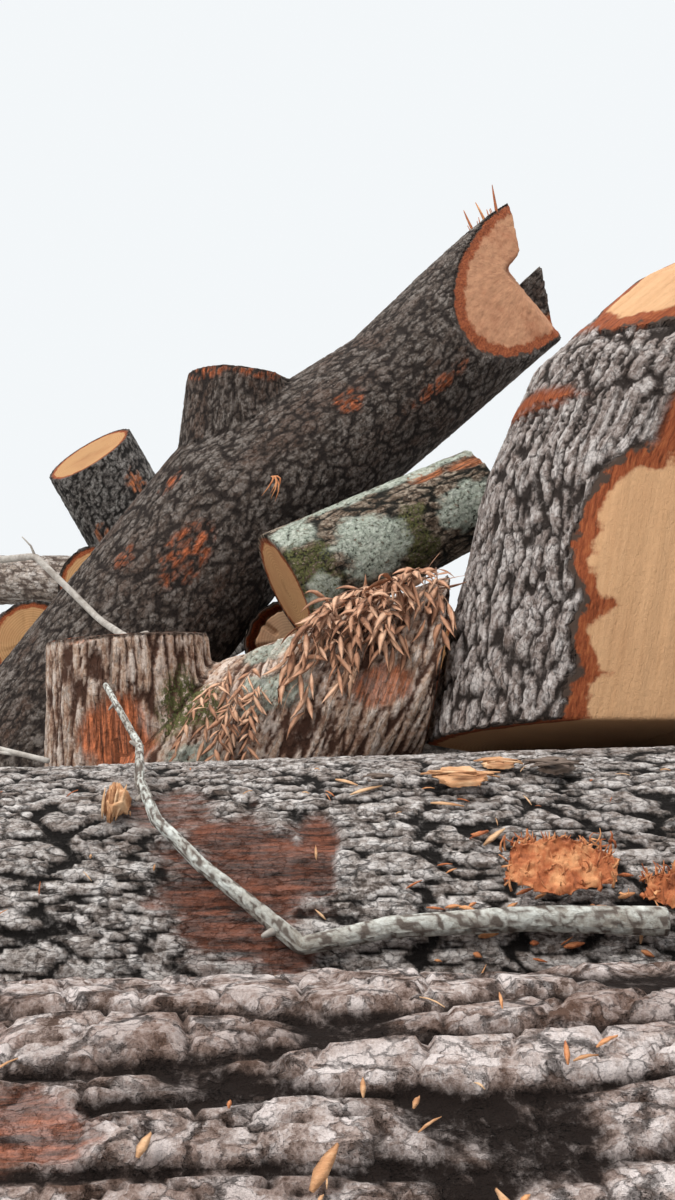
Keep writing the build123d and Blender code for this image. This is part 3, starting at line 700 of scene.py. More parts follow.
class Nodes:
    """A material's node tree, with short ways to add and join its nodes."""

    def __init__(self, name: str) -> None:
        """Starts a material with a shader.

        Args:
            name: the material's name.
        """
        self.material = bpy.data.materials.new(name)
        self.material.use_nodes = True
        self.tree = self.material.node_tree
        self.tree.nodes.clear()
        self.shader = self.add("ShaderNodeBsdfPrincipled")
        output = self.add("ShaderNodeOutputMaterial")
        self.tree.links.new(self.shader.outputs[0], output.inputs[0])

    def add(self, kind: str, **settings) -> bpy.types.Node:
        """Adds a node and sets its properties."""
        node = self.tree.nodes.new(kind)
        for name, value in settings.items():
            setattr(node, name, value)
        return node

    def join(self, source: bpy.types.NodeSocket, target: bpy.types.NodeSocket) -> None:
        """Links two sockets."""
        self.tree.links.new(source, target)

    def number(self, name: str) -> bpy.types.NodeSocket:
        """A vertex number of the piece, by name."""
        return self.add("ShaderNodeAttribute", attribute_name=name).outputs["Fac"]

    def grain_place(self) -> bpy.types.NodeSocket:
        """The place in the grain: along, around and outwards."""
        return self.add("ShaderNodeAttribute", attribute_name="grain").outputs["Vector"]

    def scaled(self, source: bpy.types.NodeSocket, stretch: tuple) -> bpy.types.NodeSocket:
        """A place, scaled along each axis."""
        mapping = self.add("ShaderNodeMapping")
        mapping.inputs["Scale"].default_value = stretch
        self.join(source, mapping.inputs[0])
        return mapping.outputs[0]

    def grain(self, stretch: tuple) -> bpy.types.NodeSocket:
        """The place in the grain, scaled."""
        return self.scaled(self.grain_place(), stretch)

    def place(self) -> bpy.types.NodeSocket:
        """The place in the object."""
        return self.add("ShaderNodeTexCoord").outputs["Object"]

    def clouds(self, source: bpy.types.NodeSocket, scale: float, detail: float,
               rough: float) -> bpy.types.Node:
        """A noise texture over a place."""
        node = self.add("ShaderNodeTexNoise")
        for name, value in (("Scale", scale), ("Detail", detail), ("Roughness", rough)):
            node.inputs[name].default_value = value
        self.join(source, node.inputs["Vector"])
        return node

    def noise(self, source: bpy.types.NodeSocket, scale: float, detail: float = 5,
              rough: float = 0.6) -> bpy.types.NodeSocket:
        """Noise from 0 to 1 over a place."""
        return self.clouds(source, scale, detail, rough).outputs["Fac"]

    def cracked(self, size: tuple[float, float], warp: float) -> tuple:
        """A net of cracks in the bark's own place.

        Args:
            size: length and width of a flake.
            warp: how crooked the cracks are.

        Returns:
            Distance to the nearest crack, and a value for each flake.
        """
        place = self.grain((1 / size[0], 1 / size[1], 0.0))
        bend = self.clouds(place, 0.9, 6, 0.62)
        shift = self.add("ShaderNodeVectorMath", operation="MULTIPLY_ADD")
        shift.inputs[1].default_value = (warp * 2, warp * 2, 0)
        self.join(bend.outputs["Color"], shift.inputs[0])
        self.join(place, shift.inputs[2])
        edge = self.add("ShaderNodeTexVoronoi", voronoi_dimensions="2D", feature="DISTANCE_TO_EDGE")
        flake = self.add("ShaderNodeTexVoronoi", voronoi_dimensions="2D", feature="F1")
        for node in (edge, flake):
            node.inputs["Scale"].default_value = 1.0
            self.join(shift.outputs[0], node.inputs["Vector"])
        value = self.add("ShaderNodeSeparateColor")
        self.join(flake.outputs["Color"], value.inputs[0])
        return edge.outputs["Distance"], value.outputs[0]

    def ramp(self, source: bpy.types.NodeSocket, *stops: tuple) -> bpy.types.NodeSocket:
        """Colours along a number, from pairs of position and colour."""
        node = self.add("ShaderNodeValToRGB")
        elements = node.color_ramp.elements
        while len(elements) < len(stops):
            elements.new(0.5)
        for element, (position, colour) in zip(elements, stops):
            element.position = position
            element.color = (*colour, 1.0)
        self.join(source, node.inputs[0])
        return node.outputs[0]

    def step(self, source: bpy.types.NodeSocket, low: float, high: float) -> bpy.types.NodeSocket:
        """A number that goes smoothly from 0 at low to 1 at high."""
        node = self.add("ShaderNodeMapRange", interpolation_type="SMOOTHSTEP")
        node.inputs["From Min"].default_value = low
        node.inputs["From Max"].default_value = high
        self.join(source, node.inputs["Value"])
        return node.outputs[0]

    def sum(self, kind: str, first: bpy.types.NodeSocket, second: Value) -> bpy.types.NodeSocket:
        """Arithmetic on two numbers."""
        node = self.add("ShaderNodeMath", operation=kind)
        self.join(first, node.inputs[0])
        if isinstance(second, (int, float)):
            node.inputs[1].default_value = second
        else:
            self.join(second, node.inputs[1])
        return node.outputs[0]

    def swing(self, source: bpy.types.NodeSocket, size: float) -> bpy.types.NodeSocket:
        """Turns a number from 0 to 1 into one that swings about 0, by half of size either way."""
        return self.times(self.sum("SUBTRACT", source, 0.5), size)

    def plus(self, first: bpy.types.NodeSocket, second: Value) -> bpy.types.NodeSocket:
        """Adds two numbers."""
        return self.sum("ADD", first, second)

    def times(self, first: bpy.types.NodeSocket, second: Value) -> bpy.types.NodeSocket:
        """Multiplies two numbers."""
        return self.sum("MULTIPLY", first, second)

    def mix(self, share: Value, first: Colour, second: Colour, kind: str = "MIX") -> bpy.types.NodeSocket:
        """Mixes two colours, each a socket or a plain colour."""
        node = self.add("ShaderNodeMix", data_type="RGBA", blend_type=kind)
        for socket, value in ((node.inputs[0], share), (node.inputs[6], first), (node.inputs[7], second)):
            if isinstance(value, bpy.types.NodeSocket):
                self.join(value, socket)
            elif isinstance(value, (int, float)):
                socket.default_value = value
            else:
                socket.default_value = (*value, 1.0)
        return node.outputs[2]

    def bump(self, *layers: tuple) -> None:
        """Bump from pairs of height socket and distance in metres, laid over each other."""
        last = None
        for height, distance in layers:
            node = self.add("ShaderNodeBump")
            node.inputs["Strength"].default_value = 1.0
            node.inputs["Distance"].default_value = distance
            self.join(height, node.inputs["Height"])
            if last is not None:
                self.join(last, node.inputs["Normal"])
            last = node.outputs[0]
        self.join(last, self.shader.inputs["Normal"])


@dataclass(frozen=True)
class WoodFinish:
    """Colours of bare wood and of the bark's inside."""

    pale: tuple = (0.62, 0.36, 0.17)
    deep: tuple = (0.42, 0.20, 0.08)
    red: tuple = (0.30, 0.075, 0.028)
    bright: tuple = (0.46, 0.15, 0.055)
    crust: tuple = (0.075, 0.05, 0.038)            # dead outer bark in section
    stain: float = 0.35
    inner: tuple[float, float] = (0.034, 0.026)    # from the rim to where the inner bark starts, and is full
    outer: tuple[float, float] = (0.013, 0.009)    # the same of the dead bark

    def colour(self, nodes: Nodes) -> bpy.types.NodeSocket:
        """Colour of sawn and ripped faces, with rings or grain, and inner bark along the rim.

        Args:
            nodes: the material that it is for.

        Returns:
            The colour's socket.
        """
        streaks = nodes.noise(nodes.grain((1.6, 70.0, 70.0)), 1.0, 6, 0.65)
        split = nodes.add("ShaderNodeSeparateXYZ")
        nodes.join(nodes.grain_place(), split.inputs[0])
        wobble = nodes.noise(nodes.place(), 9.0, 2)
        turned = nodes.add("ShaderNodeCombineXYZ")
        nodes.join(nodes.plus(split.outputs[2], nodes.times(wobble, 0.02)), turned.inputs[0])
        rings = nodes.add("ShaderNodeTexWave", wave_type="BANDS", bands_direction="X")
        rings.inputs["Scale"].default_value = 34.0
        rings.inputs["Distortion"].default_value = 0.6
        nodes.join(turned.outputs[0], rings.inputs["Vector"])
        pattern = nodes.add("ShaderNodeMix", data_type="FLOAT")
        nodes.join(nodes.number("endgrain"), pattern.inputs[0])
        nodes.join(streaks, pattern.inputs[2])
        soft = nodes.plus(nodes.times(rings.outputs["Fac"], 0.22), 0.33)
        nodes.join(soft, pattern.inputs[3])
        wood = nodes.ramp(pattern.outputs[0], (0.15, self.deep), (0.58, self.pale))
        cloud = nodes.step(nodes.noise(nodes.place(), 5.0, 5), 0.42, 0.75)
        wood = nodes.mix(nodes.times(cloud, self.stain), wood, self.red)
        fine = nodes.noise(nodes.place(), 60.0, 5, 0.7)
        speck = nodes.ramp(fine, (0.3, (0.75, 0.75, 0.75)), (0.7, (1, 1, 1)))
        wood = nodes.mix(0.35, wood, speck, "MULTIPLY")
        ragged = nodes.swing(nodes.noise(nodes.place(), 26.0, 5), 0.03)
        rim = nodes.plus(nodes.number("rim"), ragged)
        fibre = nodes.noise(nodes.grain((30.0, 160.0, 160.0)), 1.0, 5, 0.7)
        band = nodes.ramp(fibre, (0.3, tuple(value * 0.35 for value in self.red)), (0.5, self.red),
                          (0.72, self.bright))
        wood = nodes.mix(nodes.step(rim, *self.inner), wood, band)
        return nodes.mix(nodes.step(rim, *self.outer), wood, self.crust)


@dataclass(frozen=True)
class BarkFinish:
    """Colours of a bark: furrows, flanks and plates, with the tints that lie on them. The furrow colour is
    painted shade, laid in the furrows and in the cracks between blocks and flakes.
    """

    # painted shade: the dark colour laid at the bottom of the furrows and in the cracks
    furrow: tuple = (0.012, 0.008, 0.006)
    flank: tuple = (0.10, 0.07, 0.055)
    plate: tuple = (0.36, 0.30, 0.27)
    pale: tuple = (0.66, 0.60, 0.57)
    tint: tuple = (0.17, 0.09, 0.06)
    tint_share: float = 0.35
    torn: tuple = (0.22, 0.07, 0.035)
    block: tuple[float, float] = (0.040, 0.022)
    flake: tuple[float, float] = (0.014, 0.008)
    crust: float = 0.0022             # height of the flakes
    cracked: float = 0.75             # how dark the painted shade in the cracks between blocks is
    green: float = 0.0
    algae: tuple = (0.10, 0.115, 0.05)
    moss: tuple = ((0.3, (0.025, 0.030, 0.010)), (0.55, (0.115, 0.120, 0.040)), (0.8, (0.30, 0.28, 0.13)))
    lichen: tuple = ((0.25, (0.14, 0.17, 0.13)), (0.48, (0.42, 0.47, 0.39)), (0.70, (0.80, 0.83, 0.74)))
    wood: WoodFinish = field(default_factory=WoodFinish)

    def material(self, name: str) -> bpy.types.Material:
        """Builds the material."""
        nodes = Nodes(name)
        relief = nodes.number("relief")
        fine = nodes.noise(nodes.place(), 150.0, 6, 0.75)
        mottle = nodes.noise(nodes.place(), 34.0, 5, 0.65)
        broad = nodes.noise(nodes.grain((3.0, 9.0, 9.0)), 1.0, 5)
        streak = nodes.noise(nodes.grain((20.0, 130.0, 60.0)), 1.0, 5, 0.7)
        flake_edge, flake_value = nodes.cracked(self.flake, 0.9)
        block_edge, block_value = nodes.cracked(self.block, 0.8)
        tone = nodes.times(flake_value, 0.18)
        for part, weight in ((block_value, 0.14), (mottle, 0.62), (fine, 0.52), (streak, 0.30)):
            tone = nodes.plus(tone, nodes.times(part, weight))
        bark = nodes.ramp(tone, (0.70, self.flank), (0.82, self.plate), (0.98, self.pale))
        tint = nodes.times(nodes.step(broad, 0.46, 0.66), self.tint_share)
        bark = nodes.mix(tint, bark, self.tint)
        # Painted shade: the edges of blocks and of flakes are darkened towards the furrow colour, in patches
        # set by noise.
        opened = nodes.step(nodes.noise(nodes.place(), 24.0, 4), 0.56, 0.42)
        cracks = nodes.sum("MAXIMUM", nodes.step(block_edge, 0.0, 0.12), opened)
        bark = nodes.mix(cracks, nodes.mix(self.cracked, bark, self.furrow), bark)
        chips = nodes.sum("MAXIMUM", nodes.step(flake_edge, 0.0, 0.10), nodes.step(mottle, 0.54, 0.44))
        bark = nodes.mix(chips, nodes.mix(self.cracked * 0.6, bark, self.furrow), bark)
        # Painted shade: where the relief is low the bark goes to the dark furrow colour, through a darker mix
        # with the flank colour on the furrows' sides.
        height = nodes.plus(relief, nodes.swing(mottle, 0.7))
        height = nodes.plus(height, nodes.swing(fine, 0.4))
        deep = nodes.mix(nodes.step(height, 0.0, 0.34), self.furrow, nodes.mix(0.55, bark, self.flank))
        bark = nodes.mix(nodes.step(height, 0.22, 0.58), deep, bark)
        if self.green:
            spread = nodes.step(nodes.noise(nodes.place(), 7.0, 6), 0.5, 0.72)
            bark = nodes.mix(nodes.times(spread, self.green), bark, self.algae)
        # The torn fibres' streaks run from near-black to bright orange: partly the fibres' own colour, partly
        # painted shade between the fibres and painted highlights on them.
        torn = nodes.ramp(nodes.noise(nodes.grain((12.0, 110.0, 50.0)), 1.0, 6, 0.75),
                          (0.38, tuple(value * 0.15 for value in self.torn)), (0.5, self.torn),
                          (0.63, tuple(min(value * 2.4, 1) for value in self.torn)))
        bark = nodes.mix(nodes.number("red"), bark, torn)
        moss_fine = nodes.noise(nodes.place(), 130.0, 5)
        moss_share = nodes.times(nodes.number("moss"), nodes.step(moss_fine, 0.40, 0.52))
        bark = nodes.mix(moss_share, bark, nodes.ramp(moss_fine, *self.moss))
        crust = nodes.noise(nodes.place(), 75.0, 6, 0.7)
        lichen_share = nodes.times(nodes.number("lichen"), nodes.step(crust, 0.36, 0.46))
        bark = nodes.mix(lichen_share, bark, nodes.ramp(crust, *self.lichen))
        colour = nodes.mix(nodes.number("wood"), bark, self.wood.colour(nodes))
        nodes.join(colour, nodes.shader.inputs["Base Color"])
        nodes.shader.inputs["Roughness"].default_value = 0.88
        nodes.shader.inputs["Specular IOR Level"].default_value = 0.2
        barky = nodes.sum("SUBTRACT", nodes.times(nodes.number("wood"), -0.9), -1.0)
        flakes = nodes.plus(nodes.times(chips, 0.6), nodes.times(flake_value, 0.5))
        blocks = nodes.plus(cracks, nodes.times(block_value, 0.4))
        nodes.bump((nodes.times(blocks, barky), self.crust * 2.0),
                   (nodes.times(flakes, barky), self.crust),
                   (nodes.times(mottle, barky), self.crust * 7), (streak, 0.0024), (fine, 0.0026))
        return nodes.material


@dataclass(frozen=True)
class PlainFinish:
    """Colours of small loose things: split wood, fibres, leaves and twigs."""

    dark: tuple
    middle: tuple
    light: tuple
    grain: tuple[float, float, float] = (1.0, 1.0, 1.0)   # how the streaks are stretched along X, Y and Z
    streak: float = 90.0
    rough: float = 0.0012

    def material(self, name: str) -> bpy.types.Material:
        """Builds the material."""
        nodes = Nodes(name)
        streak = nodes.noise(nodes.scaled(nodes.place(), self.grain), self.streak, 5, 0.7)
        piece = nodes.noise(nodes.place(), 31.0, 2)
        tone = nodes.plus(nodes.times(streak, 0.6), nodes.times(piece, 0.5))
        tone = nodes.plus(tone, nodes.times(nodes.number("shade"), 0.35))
        colour = nodes.ramp(tone, (0.42, self.dark), (0.68, self.middle), (0.95, self.light))
        nodes.join(colour, nodes.shader.inputs["Base Color"])
        nodes.shader.inputs["Roughness"].default_value = 0.8
        nodes.bump((streak, self.rough))
        return nodes.material


# The heap.


def corner(node: str) -> np.ndarray:
    """Lowest corner of a CAD node."""
    return np.array(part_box(node)[0], dtype=float)


def extent(node: str) -> tuple[np.ndarray, np.ndarray]:
    """Lowest and highest corner of a CAD node."""
    low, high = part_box(node)
    return np.array(low), np.array(high)


def wear(piece: bpy.types.Object, material: bpy.types.Material, slot: str, *nodes: str) -> None:
    """Gives a piece its material and its place in the frame.

    Args:
        piece: the finished piece.
        material: its finish.
        slot: the record's material slot; not used.
        nodes: the CAD nodes that it stands for.
    """
    piece.data.materials.clear()
    piece.data.materials.append(material)
    only(piece)
    bpy.ops.object.shade_smooth()
    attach(piece, "root")
    if nodes:
        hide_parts(*nodes)
    log.info("%s: %d vertices", piece.name, len(piece.data.vertices))


@dataclass(frozen=True)
class GroundLine:
    """The line of a saw log on the ground."""

    start: tuple[float, float, float]    # left end of its axis, from the lowest corner of its node's box
    length: float
    left: float                          # diameter of its left end
    right: float
    yaw: float                           # degrees that it turns from +X towards +Y
    lean: float                          # degrees that it rises
    bow: float = 0.0                     # how far its middle lies off the straight line

    def spine(self, node: str) -> Spine:
        """The spine of the log that stands for a CAD node."""
        foot = corner(node) + self.start
        turn, rise = math.radians(self.yaw), math.radians(self.lean)
        along = np.array([math.cos(rise) * math.cos(turn), math.cos(rise) * math.sin(turn), math.sin(rise)])
        across = np.array([-math.sin(turn), math.cos(turn), 0.0])
        points = [foot + along * (self.length * part) + across * (self.bow * math.sin(math.pi * part))
                  for part in np.linspace(0, 1, 4)]
        return Spine(points, list(np.linspace(self.left, self.right, 4)))


GROUND_LINES = {
    "front_log": GroundLine((0.0054, 0.3599, 0.3096), 2.52, 0.637, 0.707, 0, 0.773, 0.010),
    "second_log": GroundLine((0.0068, 0.4225, 0.3538), 3.12, 0.728, 0.830, 0, 0.91, -0.012),
    "third_log": GroundLine((0.0026, 0.3513, 0.3208), 1.86, 0.660, 0.690, 0, 0.449),
    "fourth_log": GroundLine((0.1012, 0.4051, 0.3985), 2.50, 0.820, 0.760, 14, -0.668),
    "fifth_log": GroundLine((0.0281, 0.4012, 0.3839), 2.50, 0.790, 0.820, 4, 0.334),
    "sixth_log": GroundLine((0.0021, 0.3818, 0.3645), 2.52, 0.750, 0.720, 0, -0.331)}


@dataclass
class GroundLogs:
    """The saw logs that lie on the ground, front to back."""

    front_bark: Bark = Bark(0.066, 0.48, 0.031, 0.34, block=(0.070, 0.050), crack=0.30, wander=0.45, seed=11)
    second_bark: Bark = Bark(0.027, 0.13, 0.012, 0.25, block=(0.040, 0.020), crack=0.30, wander=0.8, seed=23)
    front_step: float = 0.0052        # spacing of the mesh where the bark is seen
    second_step: float = 0.0055
    hidden_step: float = 0.026

    def build(self) -> None:
        """Builds all six."""
        self.front()
        self.second()
        self.back_rows()

    def front(self) -> None:
        """The front log, with the deepest furrows."""
        finish = BarkFinish(furrow=(0.014, 0.008, 0.006), flank=(0.115, 0.072, 0.055),
                            plate=(0.44, 0.34, 0.30), pale=(0.80, 0.71, 0.68), tint=(0.17, 0.085, 0.055),
                            tint_share=0.40, block=(0.060, 0.036), flake=(0.020, 0.012), crust=0.0024,
                            cracked=0.8)
        patches = (Patch(Sort.TORN, (-0.30, -2.06, 0.655), (0.12, 0.05), 0.7),
                   Patch(Sort.TORN, (-0.12, -2.155, 0.617), (0.05, 0.03), 0.8, 0.8))
        stem = Stem("front_log_bark", GROUND_LINES["front_log"].spine("front_log"), self.front_bark,
                    fine=(0.70, 1.90), facing=(5, 118), step=self.front_step, coarse=0.03, patches=patches)
        wear(stem.build(), finish.material("front_bark"), "furrowed_bark", "front_log")

    def second(self) -> None:
        """The second log, with a torn patch."""
        finish = BarkFinish(furrow=(0.010, 0.008, 0.007), flank=(0.10, 0.078, 0.066),
                            plate=(0.40, 0.35, 0.32), pale=(0.78, 0.73, 0.70), tint=(0.12, 0.075, 0.055),
                            tint_share=0.35, torn=(0.12, 0.040, 0.022), block=(0.040, 0.016),
                            flake=(0.013, 0.006), crust=0.0016)
        patches = (Patch(Sort.TORN, (-0.035, -1.55, 0.62), (0.115, 0.145), 0.9, 0.6),
                   Patch(Sort.TORN, (0.075, -1.51, 0.665), (0.035, 0.09), 0.9, 0.7),
                   Patch(Sort.TORN, (-0.15, -1.44, 0.72), (0.07, 0.05), 0.7))
        stem = Stem("second_log_bark", GROUND_LINES["second_log"].spine("second_log"), self.second_bark,
                    fine=(0.72, 2.05), facing=(-5, 88), step=self.second_step, coarse=0.03, patches=patches)
        wear(stem.build(), finish.material("second_bark"), "grey_bark", "second_log")

    def back_rows(self) -> None:
        """The four logs behind them."""
        hidden = BarkFinish(furrow=(0.014, 0.011, 0.009), flank=(0.06, 0.045, 0.036),
                            plate=(0.17, 0.14, 0.12), pale=(0.33, 0.29, 0.26),
                            flake=(0.02, 0.012)).material("back_bark")
        for number, node in enumerate(("third_log", "fourth_log", "fifth_log", "sixth_log")):
            bark = Bark(0.070, 0.30, 0.015, 0.3, block=(0.10, 0.06), crack=0.2, seed=37 + number)
            stem = Stem(node + "_bark", GROUND_LINES[node].spine(node), bark,
                        step=self.hidden_step, coarse=self.hidden_step)
            wear(stem.build(), hidden, "dark_bark" if number else "grey_bark", node)


@dataclass
class ShortLogs:
    """Bolts that lie on the ground logs."""

    lichen_bark: Bark = Bark(0.032, 0.11, 0.006, 0.3, block=(0.03, 0.02), seed=51)
    left_bark: Bark = Bark(0.030, 0.12, 0.007, 0.3, block=(0.04, 0.03), seed=61)
    standing_width: float = 0.46
    standing_slant: float = 27.0      # degrees that its top is sawn askew
    middle_length: float = 0.46
    middle_tilt: float = 4.0          # degrees that the middle left bolt turns from the Y axis

    def build(self) -> None:
        """Builds them."""
        dark = BarkFinish(furrow=(0.012, 0.010, 0.009), flank=(0.045, 0.038, 0.034),
                          plate=(0.13, 0.115, 0.105), pale=(0.30, 0.28, 0.26), tint=(0.05, 0.035, 0.028),
                          torn=(0.30, 0.10, 0.04))
        self.lichen_log()
        self.standing_bolt(dark)
        self.level_logs(dark)

    def lichen_log(self) -> None:
        """The short bolt with moss and lichen."""
        points = corner("lichen_log") + ((0.0871, 0.1689, 0.1507), (0.2823, 0.2283, 0.2501),
                                         (0.4799, 0.2776, 0.3495), (0.6801, 0.3168, 0.4488))
        patches = (Patch(Sort.LICHEN, (0.20, -0.30, 1.232), (0.11, 0.085), 1.0, 0.8),
                   Patch(Sort.LICHEN, (0.069, -0.343, 1.10), (0.05, 0.06), 0.9, 0.9),
                   Patch(Sort.LICHEN, (0.456, -0.227, 1.321), (0.07, 0.05), 0.9, 0.9),
                   Patch(Sort.LICHEN, (0.30, -0.15, 1.44), (0.30, 0.035), 0.9, 1.0),
                   Patch(Sort.LICHEN, (-0.02, -0.30, 1.26), (0.08, 0.06), 0.9, 0.8),
                   Patch(Sort.LICHEN, (0.52, -0.20, 1.36), (0.06, 0.07), 0.9, 0.7),
                   Patch(Sort.MOSS, (0.03, -0.364, 1.14), (0.09, 0.11), 0.95, 0.8),
                   Patch(Sort.MOSS, (0.338, -0.26, 1.26), (0.06, 0.10), 0.9, 0.9),
                   Patch(Sort.TORN, (0.36, -0.17, 1.447), (0.06, 0.035), 0.9),
                   Patch(Sort.TORN, (0.51, -0.161, 1.503), (0.09, 0.03), 0.9))
        finish = BarkFinish(furrow=(0.012, 0.011, 0.008), flank=(0.055, 0.040, 0.028),
                            plate=(0.17, 0.115, 0.08), pale=(0.44, 0.36, 0.28), tint=(0.09, 0.06, 0.035),
                            green=0.12, torn=(0.30, 0.10, 0.04), block=(0.03, 0.018),
                            flake=(0.011, 0.007), wood=WoodFinish(pale=(0.66, 0.38, 0.18)))
        stem = Stem("lichen_log_bark", Spine(points, list(np.linspace(0.345, 0.290, 4))), self.lichen_bark,
                    step=0.0065, coarse=0.0065, patches=patches)
        wear(stem.build(), finish.material("mossy"), "mossy_bark", "lichen_log")

    def standing_bolt(self, dark: BarkFinish) -> None:
        """The bolt that leans left behind the trunk, its top sawn askew.

        Args:
            dark: its finish.
        """
        low = corner("standing_bolt")
        foot, top = low + (0.8003, 0.2717, 0.1118), low + (0.1469, 0.226, 1.2463)
        axis = (top - foot) / np.linalg.norm(top - foot)
        slant = math.radians(self.standing_slant)
        point = top - axis * (self.standing_width / 2 * math.tan(slant))
        normal = axis * math.cos(slant) + np.array([0, -1, 0]) * math.sin(slant)
        patches = (Patch(Sort.SCUFF, (-0.86, 1.347, 1.75), (0.13, 0.06)),
                   Patch(Sort.SCUFF, (-0.985, 1.315, 1.465), (0.06, 0.04)))
        stem = Stem("standing_bolt_bark", Spine([foot, top], [self.standing_width] * 2), self.left_bark,
                    step=0.013, coarse=0.013, patches=patches, end_plane=(point, normal))
        wear(stem.build(), dark.material("bolt_bark"), "dark_bark", "standing_bolt")

    def level_logs(self, dark: BarkFinish) -> None:
        """The bolts that lie level: checked, prop and left ones.

        Args:
            dark: finish of the prop log and of two of the left ones.
        """
        material = dark.material("level_bark")
        pale = BarkFinish(furrow=(0.16, 0.12, 0.10), flank=(0.34, 0.27, 0.22), plate=(0.56, 0.48, 0.42),
                          pale=(0.78, 0.71, 0.66), tint=(0.42, 0.26, 0.17)).material("pale_bark")
        checked = BarkFinish(flank=(0.12, 0.09, 0.07), plate=(0.26, 0.22, 0.19), pale=(0.50, 0.45, 0.41),
                             wood=WoodFinish(pale=(0.52, 0.33, 0.20), deep=(0.32, 0.18, 0.10), stain=0.4))
        rows = (("checked_log", 0.300, "grey_bark", checked.material("checked_bark"), 0.008, 0.03),
                ("prop_log", 0.300, "grey_bark", material, 0.020, 0.0),
                ("left_near_log", 0.345, "dark_bark", material, 0.013, 0.006),
                ("left_middle_log", 0.330, "dark_bark", material, 0.014, 0.0),
                ("left_far_log", 0.240, "branch_bark", pale, 0.013, 0.0))
        for number, (node, diameter, slot, finish, step, checks) in enumerate(rows):
            low, high = extent(node)
            middle = (low + high) / 2
            if node == "left_far_log":
                ends = [(high[0], middle[1], middle[2]), (low[0], middle[1], middle[2])]
            elif node == "left_middle_log":
                tilt = math.radians(self.middle_tilt)
                lean, inset = math.tan(tilt) * self.middle_length / 2, math.sin(tilt) * diameter / 2
                ends = [(middle[0] - lean, low[1] + inset, middle[2]),
                        (middle[0] + lean, high[1] - inset, middle[2])]
            else:
                ends = [(middle[0], low[1], middle[2]), (middle[0], high[1], middle[2])]
            bark = Bark(0.032, 0.13, 0.008, 0.3, block=(0.04, 0.03), seed=70 + number)
            stem = Stem(node + "_bark", Spine(ends, [diameter] * 2), bark, step=step, coarse=step,
                        facing=(-180, 180), checks=checks, cap_step=0.015)
            if node == "checked_log":
                stem.fine, stem.coarse, stem.cap_step = (0.0, 0.05), 0.022, 0.004
                stem.gap = (0.013, 0.022, 0.09)
            wear(stem.build(), finish, slot, node)


